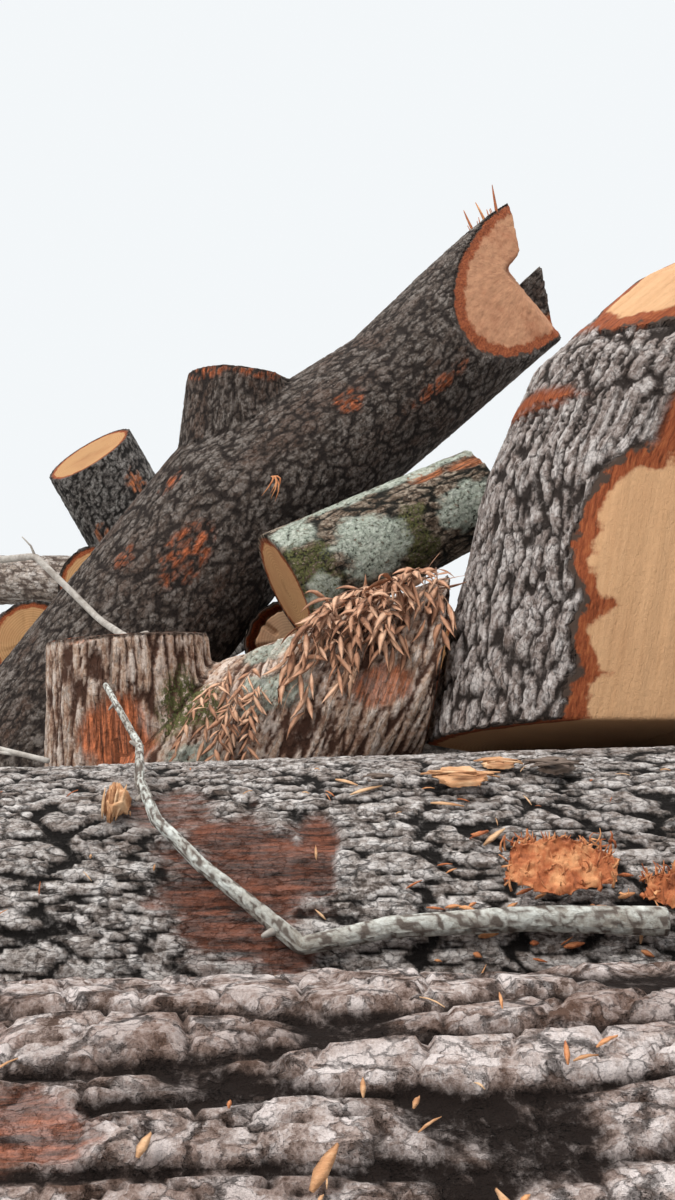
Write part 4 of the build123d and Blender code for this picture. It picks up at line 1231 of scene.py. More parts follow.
@dataclass
class BigStems:
    """The forked trunk, the crotch log and the butt log."""

    trunk_bark: Bark = Bark(0.030, 0.090, 0.006, 0.28, block=(0.034, 0.024), crack=0.4, seed=101)
    crotch_bark: Bark = Bark(0.026, 0.26, 0.012, 0.32, block=(0.08, 0.020), crack=0.2, wander=0.4, seed=111)
    butt_bark: Bark = Bark(0.036, 0.12, 0.015, 0.30, block=(0.045, 0.026), crack=0.34, wander=0.7, seed=121)

    def build(self) -> None:
        """Builds all three."""
        self.trunk()
        self.crotch()
        self.butt()

    def trunk(self) -> None:
        """The long dark trunk with its limb stub and broken end."""
        patches = (Patch(Sort.SCUFF, (-0.56, 0.0, 1.221), (0.05, 0.035)),
                   Patch(Sort.SCUFF, (-0.368, -0.027, 1.224), (0.11, 0.07)),
                   Patch(Sort.SCUFF, (0.144, 0.122, 1.749), (0.06, 0.05)),
                   Patch(Sort.SCUFF, (0.449, 0.198, 1.82), (0.13, 0.025)),
                   Patch(Sort.SCUFF, (-0.434, 0.068, 1.475), (0.06, 0.03)),
                   Patch(Sort.SCUFF, (-0.72, -0.01, 0.93), (0.06, 0.04)),
                   Patch(Sort.SCUFF, (0.60, 0.16, 1.83), (0.10, 0.02)),
                   Patch(Sort.SCUFF, (-0.33, 0.17, 1.86), (0.03, 0.10)),
                   Patch(Sort.SCUFF, (-0.17, 0.15, 1.86), (0.03, 0.10)))
        finish = BarkFinish(furrow=(0.030, 0.022, 0.019), flank=(0.056, 0.041, 0.033),
                            plate=(0.122, 0.095, 0.079), pale=(0.27, 0.235, 0.21),
                            tint=(0.10, 0.045, 0.026), tint_share=0.45, torn=(0.30, 0.085, 0.035),
                            block=(0.026, 0.015), flake=(0.010, 0.006), cracked=0.5,
                            wood=WoodFinish(pale=(0.62, 0.32, 0.18), deep=(0.36, 0.15, 0.08), stain=0.55))
        far_prong = corner("forked_trunk") + (2.2468, 0.8817, 2.3231)
        carved = Carved("forked_trunk_bark", "forked_trunk", trunk_spines(), self.trunk_bark, voxel=0.0104,
                        patches=patches, soften=2, inner=0.05, flush=0.010, barked=((far_prong, 0.14),),
                        ringed=False)
        wear(carved.build(), finish.material("trunk_bark"), "dark_bark", "forked_trunk")

    def crotch(self) -> None:
        """The forked stem whose arm leans to the right."""
        patches = (Patch(Sort.TORN, (-0.377, -0.853, 0.74), (0.09, 0.08), 0.95, 0.5),
                   Patch(Sort.TORN, (0.20, -0.803, 0.87), (0.08, 0.05), 0.7, 1.0),
                   Patch(Sort.TORN, (-0.487, -0.817, 1.0), (0.04, 0.05), 0.6, 0.9),
                   Patch(Sort.MOSS, (-0.213, -0.801, 0.80), (0.10, 0.07), 1.0, 0.7),
                   Patch(Sort.LICHEN, (-0.237, -0.848, 0.70), (0.08, 0.05), 0.8, 0.9),
                   Patch(Sort.LICHEN, (-0.06, -0.792, 0.861), (0.10, 0.06), 0.9, 0.9),
                   Patch(Sort.LICHEN, (-0.05, -0.68, 0.93), (0.10, 0.06), 0.7, 0.9))
        finish = BarkFinish(furrow=(0.085, 0.040, 0.026), flank=(0.30, 0.17, 0.115),
                            plate=(0.60, 0.42, 0.31), pale=(0.82, 0.69, 0.60), tint=(0.34, 0.15, 0.08),
                            torn=(0.40, 0.12, 0.05), block=(0.075, 0.018), flake=(0.022, 0.007),
                            crust=0.0016, cracked=0.35)
        carved = Carved("crotch_log_bark", "crotch_log", crotch_spines(), self.crotch_bark, voxel=0.0077,
                        patches=patches, soften=6, inner=0.03, flush=0.008, slant=-48)
        wear(carved.build(), finish.material("crotch_bark"), "ridged_bark", "crotch_log")

    def butt(self) -> None:
        """The big curved butt with its ripped face."""
        stations = ((0.4896, 0.3754, 0.0309), (0.5192, 0.3887, 0.1825), (0.5514, 0.4019, 0.3335),
                    (0.5836, 0.4151, 0.4846), (0.6105, 0.4284, 0.6366), (0.6635, 0.4411, 0.7817),
                    (0.7823, 0.4498, 0.881), (0.9204, 0.4559, 0.9511), (1.066, 0.4606, 1.0039),
                    (1.2164, 0.4638, 1.0413), (1.3691, 0.4662, 1.0681))
        widths = list(np.linspace(0.98, 0.90, 6)) + list(np.linspace(0.90, 0.84, 6))[1:]
        spine = Spine(corner("butt_log") + stations, widths, side=(0.0, 1.0, 0.0))
        finish = BarkFinish(furrow=(0.035, 0.026, 0.022), flank=(0.14, 0.105, 0.09),
                            plate=(0.42, 0.355, 0.325), pale=(0.70, 0.64, 0.61), tint=(0.18, 0.11, 0.08),
                            tint_share=0.3, block=(0.045, 0.020), flake=(0.014, 0.009), cracked=0.6,
                            wood=WoodFinish(pale=(0.76, 0.45, 0.24), deep=(0.62, 0.34, 0.17), stain=0.10))
        cuts = (((0.873, -0.755, 1.748), 0.185), ((1.06, -0.71, 1.85), 0.20), ((1.25, -0.66, 1.90), 0.19),
                ((0.734, -0.99, 1.124), 0.165), ((0.774, -0.99, 1.19), 0.185), ((0.683, -1.00, 0.962), 0.125),
                ((0.65, -1.00, 0.84), 0.105))
        carved = Carved("butt_log_bark", "butt_log", (spine,), self.butt_bark, voxel=0.0096,
                        soften=2, inner=0.036, flush=0.014, cuts=cuts)
        wear(carved.build(), finish.material("butt_bark"), "ridged_bark", "butt_log")


def trunk_spines() -> tuple[Spine, Spine]:
    """Lines of the trunk and of its limb stub."""
    low = corner("forked_trunk")
    stations = ((0.2391, 0.3016, 0.1755), (0.5285, 0.3632, 0.5682), (0.818, 0.4247, 0.9608),
                (1.1074, 0.4862, 1.3535), (1.3868, 0.5456, 1.5767), (1.6681, 0.6054, 1.7973),
                (1.9253, 0.6601, 2.0469), (2.1867, 0.7156, 2.2918))
    widths = (0.600, 0.5967, 0.5933, 0.590, 0.540, 0.500, 0.528, 0.545)
    limb = ((1.0874, 0.4862, 1.2355), (1.1276, 0.4948, 1.824))
    return (Spine(low + stations, list(widths)), Spine(low + limb, [0.425, 0.370], side=(0.0, 1.0, 0.0)))


def crotch_spines() -> tuple[Spine, Spine]:
    """Lines of the crotch log's stem and of its arm."""
    low = corner("crotch_log")
    stem = ((0.2087, 0.222, 0.0053), (0.2237, 0.222, 0.6003), (0.1987, 0.242, 0.9653))
    arm = ((0.2387, 0.232, 0.6003), (0.6874, 0.2951, 0.7834), (1.1362, 0.3581, 0.9665))
    return (Spine(low + stem, [0.410, 0.410, 0.380], side=(0.0, 1.0, 0.0)),
            Spine(low + arm, [0.460, 0.440, 0.420]))


# Small things.


class Strips:
    """Many thin closed strips, such as leaves, twigs and slivers, gathered into one mesh."""

    def __init__(self) -> None:
        """Starts with none."""
        self.places: list[np.ndarray] = []
        self.faces: list[list[int]] = []
        self.shades: list[float] = []
        self.count = 0

    def add(self, line: np.ndarray, widths: np.ndarray, thickness: float | np.ndarray, up: np.ndarray,
            sides: int = 4, shade: float = 0.5) -> None:
        """Adds one strip.

        Args:
            line: its middle line.
            widths: its width at each point of the line.
            thickness: its thickness, one for all or one at each point.
            up: direction of its thickness.
            sides: corners of its section.
            shade: how light it is, from 0 to 1.
        """
        line = np.asarray(line, dtype=float)
        tangent = np.gradient(line, axis=0)
        tangent /= np.linalg.norm(tangent, axis=1, keepdims=True)
        across = np.cross(tangent, up)
        across /= np.maximum(np.linalg.norm(across, axis=1, keepdims=True), 1e-6)
        normal = np.cross(across, tangent)
        turn = np.linspace(0, 2 * math.pi, sides, endpoint=False)
        half_width = np.asarray(widths, dtype=float)[:, None, None] / 2
        half_thick = np.broadcast_to(thickness, len(line))[:, None, None] / 2
        ring = (line[:, None] + across[:, None] * np.cos(turn)[None, :, None] * half_width
                + normal[:, None] * np.sin(turn)[None, :, None] * half_thick)
        first = self.count
        self.places.append(ring.reshape(-1, 3))
        for row in range(len(line) - 1):
            for side in range(sides):
                a, b = first + row * sides + side, first + row * sides + (side + 1) % sides
                self.faces.append([a, b, b + sides, a + sides])
        self.faces.append([first + side for side in reversed(range(sides))])
        self.faces.append([first + (len(line) - 1) * sides + side for side in range(sides)])
        self.shades += [shade] * (len(line) * sides)
        self.count += len(line) * sides

    def build(self, name: str) -> bpy.types.Object:
        """Makes one piece of all the strips."""
        mesh = bpy.data.meshes.new(name)
        mesh.from_pydata(np.concatenate(self.places).tolist(), [], self.faces)
        piece = bpy.data.objects.new(name, mesh)
        bpy.context.collection.objects.link(piece)
        only(piece)
        bpy.ops.object.mode_set(mode="EDIT")
        bpy.ops.mesh.select_all(action="SELECT")
        bpy.ops.mesh.normals_make_consistent(inside=False)
        bpy.ops.object.mode_set(mode="OBJECT")
        put_number(piece, "shade", self.shades)
        return piece


def arc(start: np.ndarray, stop: np.ndarray, rise: np.ndarray, points: int) -> np.ndarray:
    """A bowed line whose middle is lifted.

    Args:
        start: its first point.
        stop: its last point.
        rise: how far and which way its middle is lifted.
        points: how many points it gets.

    Returns:
        The points.
    """
    part = np.linspace(0, 1, points)[:, None]
    return start * (1 - part) + stop * part + rise * (4 * part * (1 - part))


@dataclass
class DryLeaves:
    """Withered twigs with lance-shaped leaves that hang over the crotch log's arm."""

    big_twigs: int = 28
    big_leaves: int = 12
    small_twigs: int = 9
    small_leaves: int = 12
    leaf_length: tuple[float, float] = (0.048, 0.088)
    leaf_width: float = 0.0155
    seed: int = 5

    def build(self) -> None:
        """Builds leaves and twigs as two pieces."""
        chance = np.random.default_rng(self.seed)
        arm = crotch_spines()[1]
        leaves, twigs = Strips(), Strips()
        for _ in range(self.big_twigs):
            start = chance.uniform(0.56, 0.85)
            root = (start, chance.uniform(-25, 30), chance.uniform(0.012, 0.06))
            tip = (start - chance.uniform(-0.02, 0.24), chance.uniform(35, 80), chance.uniform(0.010, 0.03))
            self.spray(chance, arm, leaves, twigs, root, tip, self.big_leaves, 1.0)
        for _ in range(self.small_twigs):
            start = chance.uniform(0.24, 0.36)
            root = (start, chance.uniform(25, 60), 0.012)
            tip = (start - chance.uniform(0.04, 0.14), chance.uniform(70, 105), 0.010)
            self.spray(chance, arm, leaves, twigs, root, tip, self.small_leaves, 0.62)
        finish = PlainFinish((0.20, 0.085, 0.045), (0.52, 0.26, 0.15), (0.80, 0.50, 0.33),
                             streak=60.0, rough=0.0006)
        wear(leaves.build("dry_leaves"), finish.material("dry_leaf"), "split_wood")
        finish = PlainFinish((0.10, 0.05, 0.03), (0.26, 0.14, 0.09), (0.45, 0.30, 0.20),
                             streak=80.0, rough=0.0006)
        wear(twigs.build("leaf_twigs"), finish.material("leaf_twig"), "branch_bark")

    def spray(self, chance: np.random.Generator, arm: Spine, leaves: Strips, twigs: Strips, start: tuple,
              stop: tuple, count: int, size: float) -> None:
        """Adds one twig with its leaves.

        Args:
            chance: the random numbers.
            arm: the line of the arm that it lies on.
            leaves: where its leaves go.
            twigs: where its stalk goes.
            start: length along the arm, degrees around it and lift of its root.
            stop: the same of its tip.
            count: how many leaves it bears.
            size: their size as a share of the full size.
        """
        root, out = arm.surface(*start)
        tip, _ = arm.surface(*stop)
        line = arc(root, tip, out * 0.02 + np.array([0, -0.03, 0.02]) * size, 8)
        for row in range(len(line)):
            line[row] = self.lifted(arm, line[row], 0.008)
        widths = np.linspace(0.0042, 0.0016, 8) * size
        twigs.add(line, widths, widths, out, 5, chance.uniform(0, 1))
        for leaf in range(count):
            part = (leaf + chance.uniform(0.2, 1.0)) / count * 6.9
            row = int(part)
            foot = line[row] + (line[row + 1] - line[row]) * (part - row)
            forward = (line[row + 1] - line[row]) / np.linalg.norm(line[row + 1] - line[row])
            side = np.cross(forward, out) * (1 if leaf % 2 else -1)
            way = forward * chance.uniform(0.3, 1.0) + side * chance.uniform(0.2, 0.9)
            droop = np.array([0, -0.25, -0.55]) * chance.uniform(0.2, 1.2)
            way = way + droop + out * chance.uniform(-0.1, 0.5)
            way /= np.linalg.norm(way)
            length = chance.uniform(*self.leaf_length) * size
            end = self.lifted(arm, foot + way * length, 0.004)
            middle = arc(foot, end, out * chance.uniform(-0.1, 0.22) * length, 6)
            shape = np.array([0.18, 0.75, 1.0, 0.85, 0.45, 0.06])
            facing = out + np.array([0.0, -0.3, 0.2]) + chance.normal(0, 0.45, 3)
            widths = shape * self.leaf_width * size * chance.uniform(0.7, 1.25)
            leaves.add(middle, widths, 0.0010, facing, 4, chance.uniform(0, 1))

    def lifted(self, arm: Spine, point: np.ndarray, clear: float) -> np.ndarray:
        """Lifts a point out of the arm's bark.

        Args:
            arm: the arm's line.
            point: the point.
            clear: height over the bark that it gets at least.

        Returns:
            The point, or the one over the bark where it would lie lower.
        """
        mark, _, away, radius = arm.place(point[None])
        short = radius[0] + clear - away[0]
        if short <= 0:
            return point
        centre = arm.at(np.clip(mark, 0, arm.length))[0][0]
        return point + (point - centre) / np.linalg.norm(point - centre) * short


@dataclass
class Branches:
    """The fallen branch, and thin twigs."""

    butt: float = 0.046
    tip: float = 0.012
    slender: float = 0.74             # of its lower half against the solid, which has no hollows

    def build(self) -> None:
        """Builds them."""
        stations = ((0.9254, 0.0225, 0.0491), (0.8654, 0.0252, 0.0495), (0.8054, 0.0279, 0.0499),
                    (0.7454, 0.0305, 0.0502), (0.6854, 0.031, 0.0463), (0.6254, 0.0314, 0.0425),
                    (0.5654, 0.0319, 0.0386), (0.5261, 0.03, 0.031), (0.4868, 0.0282, 0.0234),
                    (0.4474, 0.0266, 0.0157), (0.4001, 0.0448, 0.0477), (0.3528, 0.0658, 0.0778),
                    (0.3054, 0.0896, 0.1056), (0.2811, 0.1074, 0.1234), (0.2568, 0.1264, 0.14),
                    (0.2324, 0.1463, 0.1553), (0.2184, 0.1707, 0.1721), (0.2044, 0.1963, 0.187),
                    (0.1904, 0.223, 0.1999), (0.1794, 0.2718, 0.2186), (0.1684, 0.3226, 0.2306),
                    (0.1574, 0.3744, 0.2357), (0.0054, 0.7394, 0.3207))
        count = len(stations)
        slim = np.interp(np.arange(count), [0, 12, 17, count - 1], [0.84, self.slender, 0.86, 1.1])
        widths = np.linspace(self.butt, self.tip, count) * slim
        spine = Spine(corner("long_branch") + stations, list(widths), side=(0.0, 1.0, 0.3))
        bark = Bark(0.010, 0.05, 0.0010, 0.3, block=(0.02, 0.008), seed=131)
        finish = BarkFinish(furrow=(0.16, 0.13, 0.11), flank=(0.34, 0.31, 0.27), plate=(0.56, 0.56, 0.51),
                            pale=(0.80, 0.83, 0.78), tint=(0.30, 0.24, 0.18), tint_share=0.35,
                            block=(0.05, 0.02), flake=(0.016, 0.009), crust=0.0005, cracked=0.25)
        material = finish.material("branch")
        stem = Stem("long_branch_bark", spine, bark, step=0.0045, coarse=0.0045, cap_step=0.004)
        wear(stem.build(), material, "branch_bark", "long_branch")
        self.nubs(spine)
        self.thin_twigs()

    def nubs(self, spine: Spine) -> None:
        """Stubs of side twigs on the branch.

        Args:
            spine: the branch's line.
        """
        strips = Strips()
        for mark, turn, length, width in ((0.52, 150, 0.022, 0.011), (0.58, 60, 0.014, 0.010),
                                          (0.83, 100, 0.016, 0.009), (1.02, 240, 0.018, 0.008),
                                          (1.10, 70, 0.013, 0.007), (1.30, 120, 0.020, 0.006)):
            root, out = spine.surface(mark, turn, -0.006)
            lean = out + np.array([-0.25, 0.0, 0.25])
            line = arc(root, root + lean / np.linalg.norm(lean) * length, out * 0.001, 4)
            widths = width * np.array([1.3, 1.0, 0.85, 0.5])
            strips.add(line, widths, widths, np.array([0.1, 0.9, 0.2]), 8, 0.6)
        finish = PlainFinish((0.16, 0.12, 0.10), (0.36, 0.32, 0.28), (0.62, 0.60, 0.55), streak=70.0)
        wear(strips.build("branch_nubs"), finish.material("nub"), "branch_bark")

    def thin_twigs(self) -> None:
        """The thin twigs at the left, which lie on the trunk's foot and on the second log."""
        routes = (
            (((-0.352, -0.66, 0.975), (-0.4228, -0.5202, 0.9618), (-0.6181, -0.0705, 1.0224),
              (-0.7162, 0.0031, 1.1021), (-0.80, 0.04, 1.175), (-0.8638, 0.0685, 1.2301),
              (-0.9243, 0.09, 1.226), (-0.9943, 0.1189, 1.2217), (-1.12, 0.17, 1.236)), 0.019, 0.024),
            (((-0.40, -1.235, 0.752), (-0.52, -1.15, 0.764), (-0.66, -1.02, 0.772),
              (-0.80, -0.90, 0.80)), 0.010, 0.006),
            (((-0.42, -1.20, 0.752), (-0.50, -1.17, 0.758), (-0.62, -1.16, 0.764),
              (-0.74, -1.12, 0.775)), 0.007, 0.004),
            (((-0.8638, 0.0685, 1.2301), (-0.875, 0.06, 1.262), (-0.90, 0.05, 1.29)), 0.009, 0.004))
        strips = Strips()
        for points, first, last in routes:
            line = np.array(points)
            marks = np.linspace(0, len(line) - 1, 3 * len(line))
            line = np.stack([np.interp(marks, range(len(line)), line[:, axis]) for axis in range(3)], axis=1)
            widths = np.linspace(first, last, len(line))
            strips.add(line, widths, widths, np.array([0.2, 0.5, 1.0]), 8, 0.5)
        finish = PlainFinish((0.14, 0.11, 0.09), (0.38, 0.34, 0.30), (0.66, 0.63, 0.58), streak=70.0)
        wear(strips.build("thin_twigs"), finish.material("twig"), "branch_bark")


@dataclass
class LooseWood:
    """Chips, slabs, splinters and slivers."""

    slivers: int = 90
    rusty_slivers: int = 46                # on the second log, under the slabs
    fibres: int = 260
    fan_splinters: int = 13                # on each chip
    end_splinters: int = 11                # on the trunk's broken end
    long_splinters: tuple = (0.11, 0.125, 0.10)
    end_lean: float = 42.5                 # degrees that the trunk rises at its broken end
    end_yaw: float = 12.0                  # degrees that it turns from +X towards +Y
    sprig: tuple[float, float, float] = (-0.105, 0.005, 1.475)
    seed: int = 9

    def build(self) -> None:
        """Builds them."""
        chance = np.random.default_rng(self.seed)
        tan = PlainFinish((0.25, 0.095, 0.04), (0.60, 0.30, 0.14), (0.84, 0.55, 0.32), grain=(0.25, 1, 1),
                          streak=150.0, rough=0.003).material("chip")
        dark = PlainFinish((0.03, 0.02, 0.016), (0.11, 0.075, 0.055), (0.28, 0.21, 0.17), grain=(0.3, 1, 1),
                           rough=0.003).material("dark_chip")
        red = PlainFinish((0.15, 0.033, 0.013), (0.54, 0.165, 0.058), (0.85, 0.42, 0.19), grain=(1, 1, 0.4),
                          streak=90.0, rough=0.005).material("inner_bark")
        self.flake("wood_wedge", tan, "split_wood", 0.0028, 0.004, 2)
        for node in ("wood_chip_1", "wood_chip_2"):
            self.flake(node, tan, "split_wood", 0.0028, 0.005, 0)
        for node in ("wood_chip_3", "wood_chip_4"):
            self.flake(node, dark, "dark_bark", 0.0028, 0.006, 0)
        self.flake("wood_chip_5", red, "inner_bark", 0.002, 0.003, 0)
        for node in ("bark_slab_1", "bark_slab_2"):
            self.flake(node, red, "inner_bark", 0.0034, 0.014, 1)
        self.tufts(chance, red)
        self.fans(chance, tan, dark)
        self.scatter(chance, tan, red)
        self.spikes(chance, red)

    def flake(self, node: str, material: bpy.types.Material, slot: str, voxel: float, rough: float,
              main: int) -> None:
        """One loose piece with broken edges and grain.

        Args:
            node: its CAD node.
            material: its finish.
            slot: its material slot.
            voxel: size of its faces.
            rough: how deep its grain and edges are broken.
            main: axis that its grain follows.
        """
        piece = even_copy(node, node + "_grain", voxel, 1)
        places, normals = mesh_arrays(piece)
        middle = places.mean(axis=0)
        off = places - middle
        size = np.full(3, 0.007)
        size[main] = 0.035
        depth = rough * (0.5 + 0.5 * fractal(places / size, 3, 3))
        broken = np.full(3, 0.005)
        broken[main] = 9.0
        places = places - normals * depth[:, None]
        reach = np.abs(off[:, main]).max()
        jag = 0.5 + 0.5 * fractal(places / broken, 7, 2)
        places[:, main] -= off[:, main] * 0.55 * jag * smooth(0.1, 1.0, np.abs(off[:, main]) / reach)
        put_places(piece, places)
        put_number(piece, "shade", 0.5 + 0.5 * noise(places / 0.02, 4))
        wear(piece, material, slot, node)

    def tufts(self, chance: np.random.Generator, material: bpy.types.Material) -> None:
        """Fibres that stand off the slabs of inner bark.

        Args:
            chance: the random numbers.
            material: their finish.
        """
        strips = Strips()
        for node, share in (("bark_slab_1", 0.65), ("bark_slab_2", 0.35)):
            low, high = extent(node)
            span = high - low
            for _ in range(int(self.fibres * share)):
                across, along = chance.uniform(0.0, 1.0) ** 0.5 * 0.95, chance.uniform(0.06, 0.94)
                root = low + span * (along, across, across * 0.8 + 0.1)
                way = np.array([chance.normal(0.1, 0.45), chance.normal(-0.15, 0.3), chance.normal(0.8, 0.5)])
                way /= np.linalg.norm(way)
                length = chance.uniform(0.006, 0.018)
                line = arc(root - way * 0.006, root + way * length, chance.normal(0, 0.003, 3), 4)
                width = chance.uniform(0.002, 0.007)
                strips.add(line, width * np.array([1, 0.9, 0.6, 0.15]), 0.0015, np.array([0, -0.6, 0.8]), 4,
                           chance.uniform(0, 1))
        wear(strips.build("bark_fibres"), material, "inner_bark")

    def fans(self, chance: np.random.Generator, tan: bpy.types.Material, dark: bpy.types.Material) -> None:
        """Long splinters that fan out over the chips and the wedge.

        Args:
            chance: the random numbers.
            tan: finish of the ones on bare wood.
            dark: finish of the ones on bark.
        """
        for name, nodes, material, slot in (
                ("chip_splinters", ("wood_chip_1", "wood_chip_2", "wood_wedge"), tan, "split_wood"),
                ("dark_splinters", ("wood_chip_3", "wood_chip_4"), dark, "dark_bark")):
            strips = Strips()
            for node in nodes:
                low, high = extent(node)
                span, upright = high - low, node == "wood_wedge"
                for _ in range(self.fan_splinters):
                    place = low + span * (chance.uniform(0.25, 0.75), chance.uniform(0.15, 0.85), 0.62)
                    spin = chance.normal(math.radians(-22), 0.22)
                    way = np.array([math.cos(spin), math.sin(spin) * 0.8, chance.normal(0.05, 0.08)])
                    length = span[0] * chance.uniform(0.35, 0.85)
                    up = np.array([chance.normal(0, 0.3), -0.3, 1.0])
                    if upright:
                        place = low + span * (chance.uniform(0.2, 0.8), 0.12 + 0.1 * chance.uniform(), 0.5)
                        way = np.array([chance.normal(0.08, 0.06), 0.30, 0.95])
                        length = span[2] * chance.uniform(0.6, 1.05)
                        up = np.array([chance.normal(0, 0.3), -1.0, 0.3])
                    line = arc(place - way * length / 2, place + way * length / 2, up * 0.002, 5)
                    widths = chance.uniform(0.004, 0.013) * np.array([0.3, 0.9, 1.0, 0.8, 0.15])
                    strips.add(line, widths, 0.003, up, 4, chance.uniform(0, 1))
            wear(strips.build(name), material, slot)

    def scatter(self, chance: np.random.Generator, tan: bpy.types.Material, red: bpy.types.Material) -> None:
        """Slivers that lie on the two front logs.

        Args:
            chance: the random numbers.
            tan: finish of the pale ones.
            red: finish of the rusty ones.
        """
        front = GROUND_LINES["front_log"].spine("front_log")
        second = GROUND_LINES["second_log"].spine("second_log")
        pale, rusty = Strips(), Strips()
        # Log, length along it, degrees around it, then the sliver's length, width and turn in degrees.
        chosen = ((front, 1.295, 33, 0.035, 0.011, 60), (front, 1.415, 38, 0.030, 0.008, 120),
                  (front, 1.42, 46, 0.034, 0.012, 20), (front, 1.17, 30, 0.018, 0.008, 70),
                  (second, 1.50, 24, 0.055, 0.010, 25), (second, 1.62, 30, 0.050, 0.008, -10),
                  (second, 1.68, 40, 0.045, 0.010, 40), (second, 1.47, 20, 0.040, 0.010, -30))
        for log, mark, turn, length, width, spin in chosen:
            self.sliver(chance, pale, log, (mark, turn), length, width, spin)
        for number in range(self.slivers):
            log, low, high = ((second, 0.85, 2.0), (front, 0.85, 1.8))[number % 2]
            strips = pale if chance.uniform() < 0.45 else rusty
            place = (chance.uniform(low, high), chance.uniform(5, 78 if log is second else 60))
            self.sliver(chance, strips, log, place, chance.uniform(0.006, 0.026),
                        chance.uniform(0.0015, 0.005), chance.uniform(0, 180))
        for _ in range(self.rusty_slivers):
            place = (chance.uniform(1.55, 2.0), chance.uniform(46, 66))
            self.sliver(chance, rusty, second, place, chance.uniform(0.008, 0.030),
                        chance.uniform(0.003, 0.009), chance.uniform(-30, 30))
        wear(pale.build("pale_slivers"), tan, "split_wood")
        wear(rusty.build("red_slivers"), red, "inner_bark")

    def sliver(self, chance: np.random.Generator, strips: Strips, log: Spine, place: tuple, length: float,
               width: float, spin: float) -> None:
        """Adds one sliver, flat on a log's bark.

        Args:
            chance: the random numbers.
            strips: where it goes.
            log: the log's line.
            place: length along the log and degrees around it.
            length: the sliver's length.
            width: its width.
            spin: degrees that it turns from the log's line.
        """
        point, out = log.surface(*place, 0.0)
        along = log.directions(np.array([place[0]]))[0][0]
        turn = math.radians(spin)
        way = along * math.cos(turn) + np.cross(out, along) * math.sin(turn)
        line = arc(point - way * length / 2, point + way * length / 2, out * 0.002, 4)
        line = line + out * chance.uniform(-0.001, 0.002)
        strips.add(line, width * np.array([0.35, 1.0, 0.8, 0.25]), min(width * 0.5, 0.003), out, 4,
                   chance.uniform(0.2, 1))

    def spikes(self, chance: np.random.Generator, material: bpy.types.Material) -> None:
        """Splinters on the trunk's broken end, a peel on its back, and a sprig.

        Args:
            chance: the random numbers.
            material: their finish.
        """
        strips = Strips()
        trunk = trunk_spines()[0]
        end = trunk.points[-1]
        lean, yaw = math.radians(self.end_lean), math.radians(self.end_yaw)
        along = np.array([math.cos(lean) * math.cos(yaw), math.cos(lean) * math.sin(yaw), math.sin(lean)])
        near = np.array([math.sin(yaw), -math.cos(yaw), 0.0])
        up = np.cross(near, along)
        for number in range(self.end_splinters):
            foot = end + along * chance.uniform(-0.06, 0.06) + up * 0.235 + near * chance.uniform(-0.10, 0.02)
            way = up * chance.uniform(0.7, 1.0) + along * chance.uniform(0.1, 0.9)
            tall = number < len(self.long_splinters)
            length = self.long_splinters[number] if tall else chance.uniform(0.03, 0.07)
            width = 0.013 if tall else chance.uniform(0.003, 0.008)
            tip = foot + way / np.linalg.norm(way) * length
            line = arc(foot, tip, near * chance.uniform(-0.004, 0.006), 5)
            widths = width * np.array([1.2, 1.0, 0.8, 0.6, 0.12])
            strips.add(line, widths, 0.006, near, 4, chance.uniform(0, 1))
        root, out = trunk.surface(2.25, -38, 0.0)
        tip, _ = trunk.surface(2.16, -38, 0.055)
        widths = 0.016 * np.array([1, 1, 0.8, 0.6, 0.8, 0.2])
        strips.add(arc(root, tip, out * 0.012, 6), widths, 0.004, out, 4, 0.1)
        middle, widths = np.array(self.sprig), 0.006 * np.array([0.8, 1, 0.9, 0.7, 0.2])
        for _ in range(5):
            way = np.array([chance.normal(0.2, 0.35), -0.25, -chance.uniform(0.6, 1.0)])
            line = arc(middle, middle + way / np.linalg.norm(way) * chance.uniform(0.05, 0.09),
                       np.array([0.02, -0.02, 0.012]), 5)
            strips.add(line, widths, 0.002, np.array([0.3, -1.0, 0.2]), 4, 0.6)
        wear(strips.build("splinters"), material, "inner_bark")


# Stage: floor, light and camera.


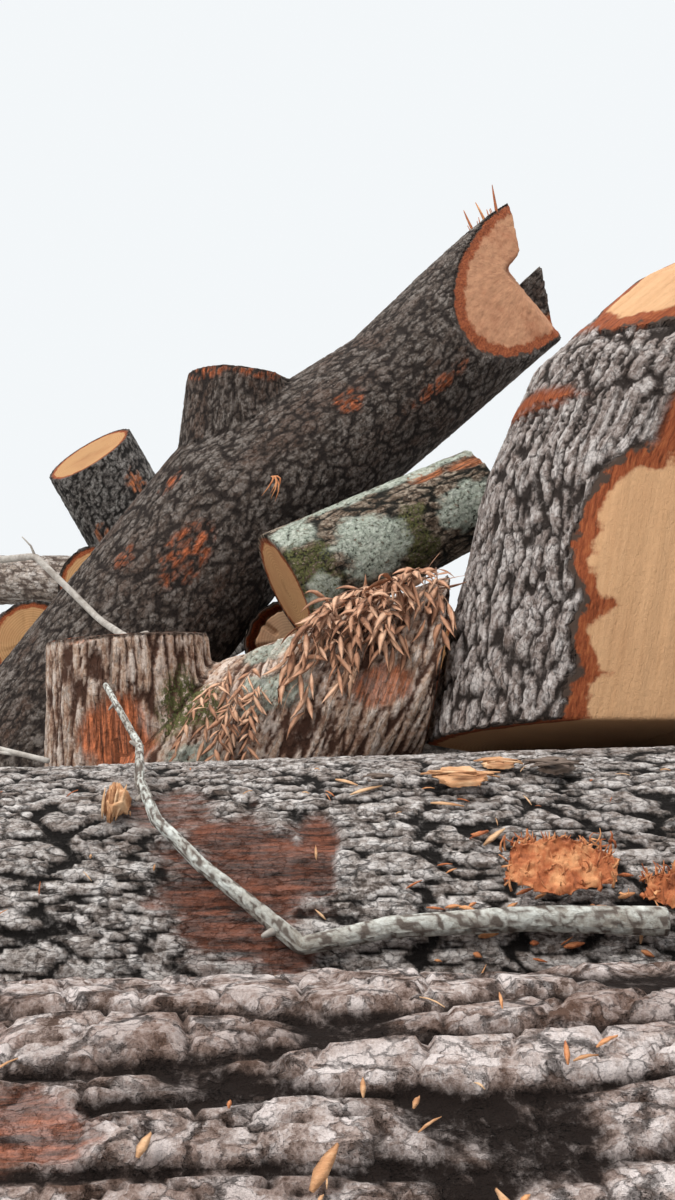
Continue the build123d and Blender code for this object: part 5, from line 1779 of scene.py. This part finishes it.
@dataclass
class Studio:
    """Floor, lights and camera."""

    lens: float = 27.21
    pitch: float = 2.52
    eye: tuple[float, float, float] = (0.0395, -0.8, 0.962)  # from the middle of the front log's box
    floor: tuple = (0.72, 0.71, 0.69, 1)
    glow: tuple = (0.90, 0.95, 1.0, 1)          # light of the sky
    glow_power: float = 0.62
    backdrop: tuple = (0.90, 0.93, 0.95, 1)     # the sky as the camera sees it
    lamp: tuple = (1.0, 0.97, 0.93)
    target: tuple = (0.0, -0.6, 0.8)            # where the lamps point

    def build(self) -> None:
        """Builds the stage."""
        bpy.ops.object.select_all(action="DESELECT")
        bpy.ops.mesh.primitive_plane_add(size=60, location=(0, 0, -0.001))
        floor = bpy.context.object
        floor.name = "floor"
        nodes = Nodes("floor")
        nodes.shader.inputs["Base Color"].default_value = self.floor
        nodes.shader.inputs["Roughness"].default_value = 0.95
        floor.data.materials.append(nodes.material)
        self.lights()
        low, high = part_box("front_log")
        data = bpy.data.cameras.new("camera")
        data.lens, data.sensor_width = self.lens, 36.0
        data.clip_start, data.clip_end = 0.05, 100
        camera = bpy.data.objects.new("camera", data)
        middle = (low[0] + high[0]) / 2, (low[1] + high[1]) / 2
        camera.location = (middle[0] + self.eye[0], middle[1] + self.eye[1], self.eye[2])
        camera.rotation_euler = (math.radians(90 + self.pitch), 0, 0)
        bpy.context.collection.objects.link(camera)
        bpy.context.scene.camera = camera
        bpy.context.scene.view_settings.view_transform = "Standard"

    def lights(self) -> None:
        """Soft sky and two large lamps."""
        world = bpy.data.worlds.new("sky")
        world.use_nodes = True
        tree = world.node_tree
        background = tree.nodes["Background"]
        background.inputs[0].default_value = self.glow
        background.inputs[1].default_value = self.glow_power
        white = tree.nodes.new("ShaderNodeBackground")
        white.inputs[0].default_value = self.backdrop
        white.inputs[1].default_value = 1.0
        path = tree.nodes.new("ShaderNodeLightPath")
        mix = tree.nodes.new("ShaderNodeMixShader")
        tree.links.new(path.outputs["Is Camera Ray"], mix.inputs[0])
        tree.links.new(background.outputs[0], mix.inputs[1])
        tree.links.new(white.outputs[0], mix.inputs[2])
        tree.links.new(mix.outputs[0], tree.nodes["World Output"].inputs[0])
        bpy.context.scene.world = world
        for name, place, power, size in (("key", (-4.5, -6.0, 7.5), 620, 4.0),
                                         ("top", (1.5, 1.0, 8.0), 420, 6.0)):
            data = bpy.data.lights.new(name, "AREA")
            data.energy, data.size, data.color = power, size, self.lamp
            lamp = bpy.data.objects.new(name, data)
            lamp.location = place
            aim = np.array(self.target) - place
            yaw = math.atan2(aim[1], aim[0]) - math.pi / 2
            lamp.rotation_euler = (math.acos(-aim[2] / np.linalg.norm(aim)), 0, yaw)
            bpy.context.collection.objects.link(lamp)


def main() -> None:
    logging.basicConfig(level=logging.INFO, format="%(message)s")
    for part in (GroundLogs(), ShortLogs(), BigStems(), Branches(), DryLeaves(), LooseWood(), Studio()):
        part.build()
        log.info("built %s", type(part).__name__)
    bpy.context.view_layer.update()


if __name__ == "__main__":
    main()
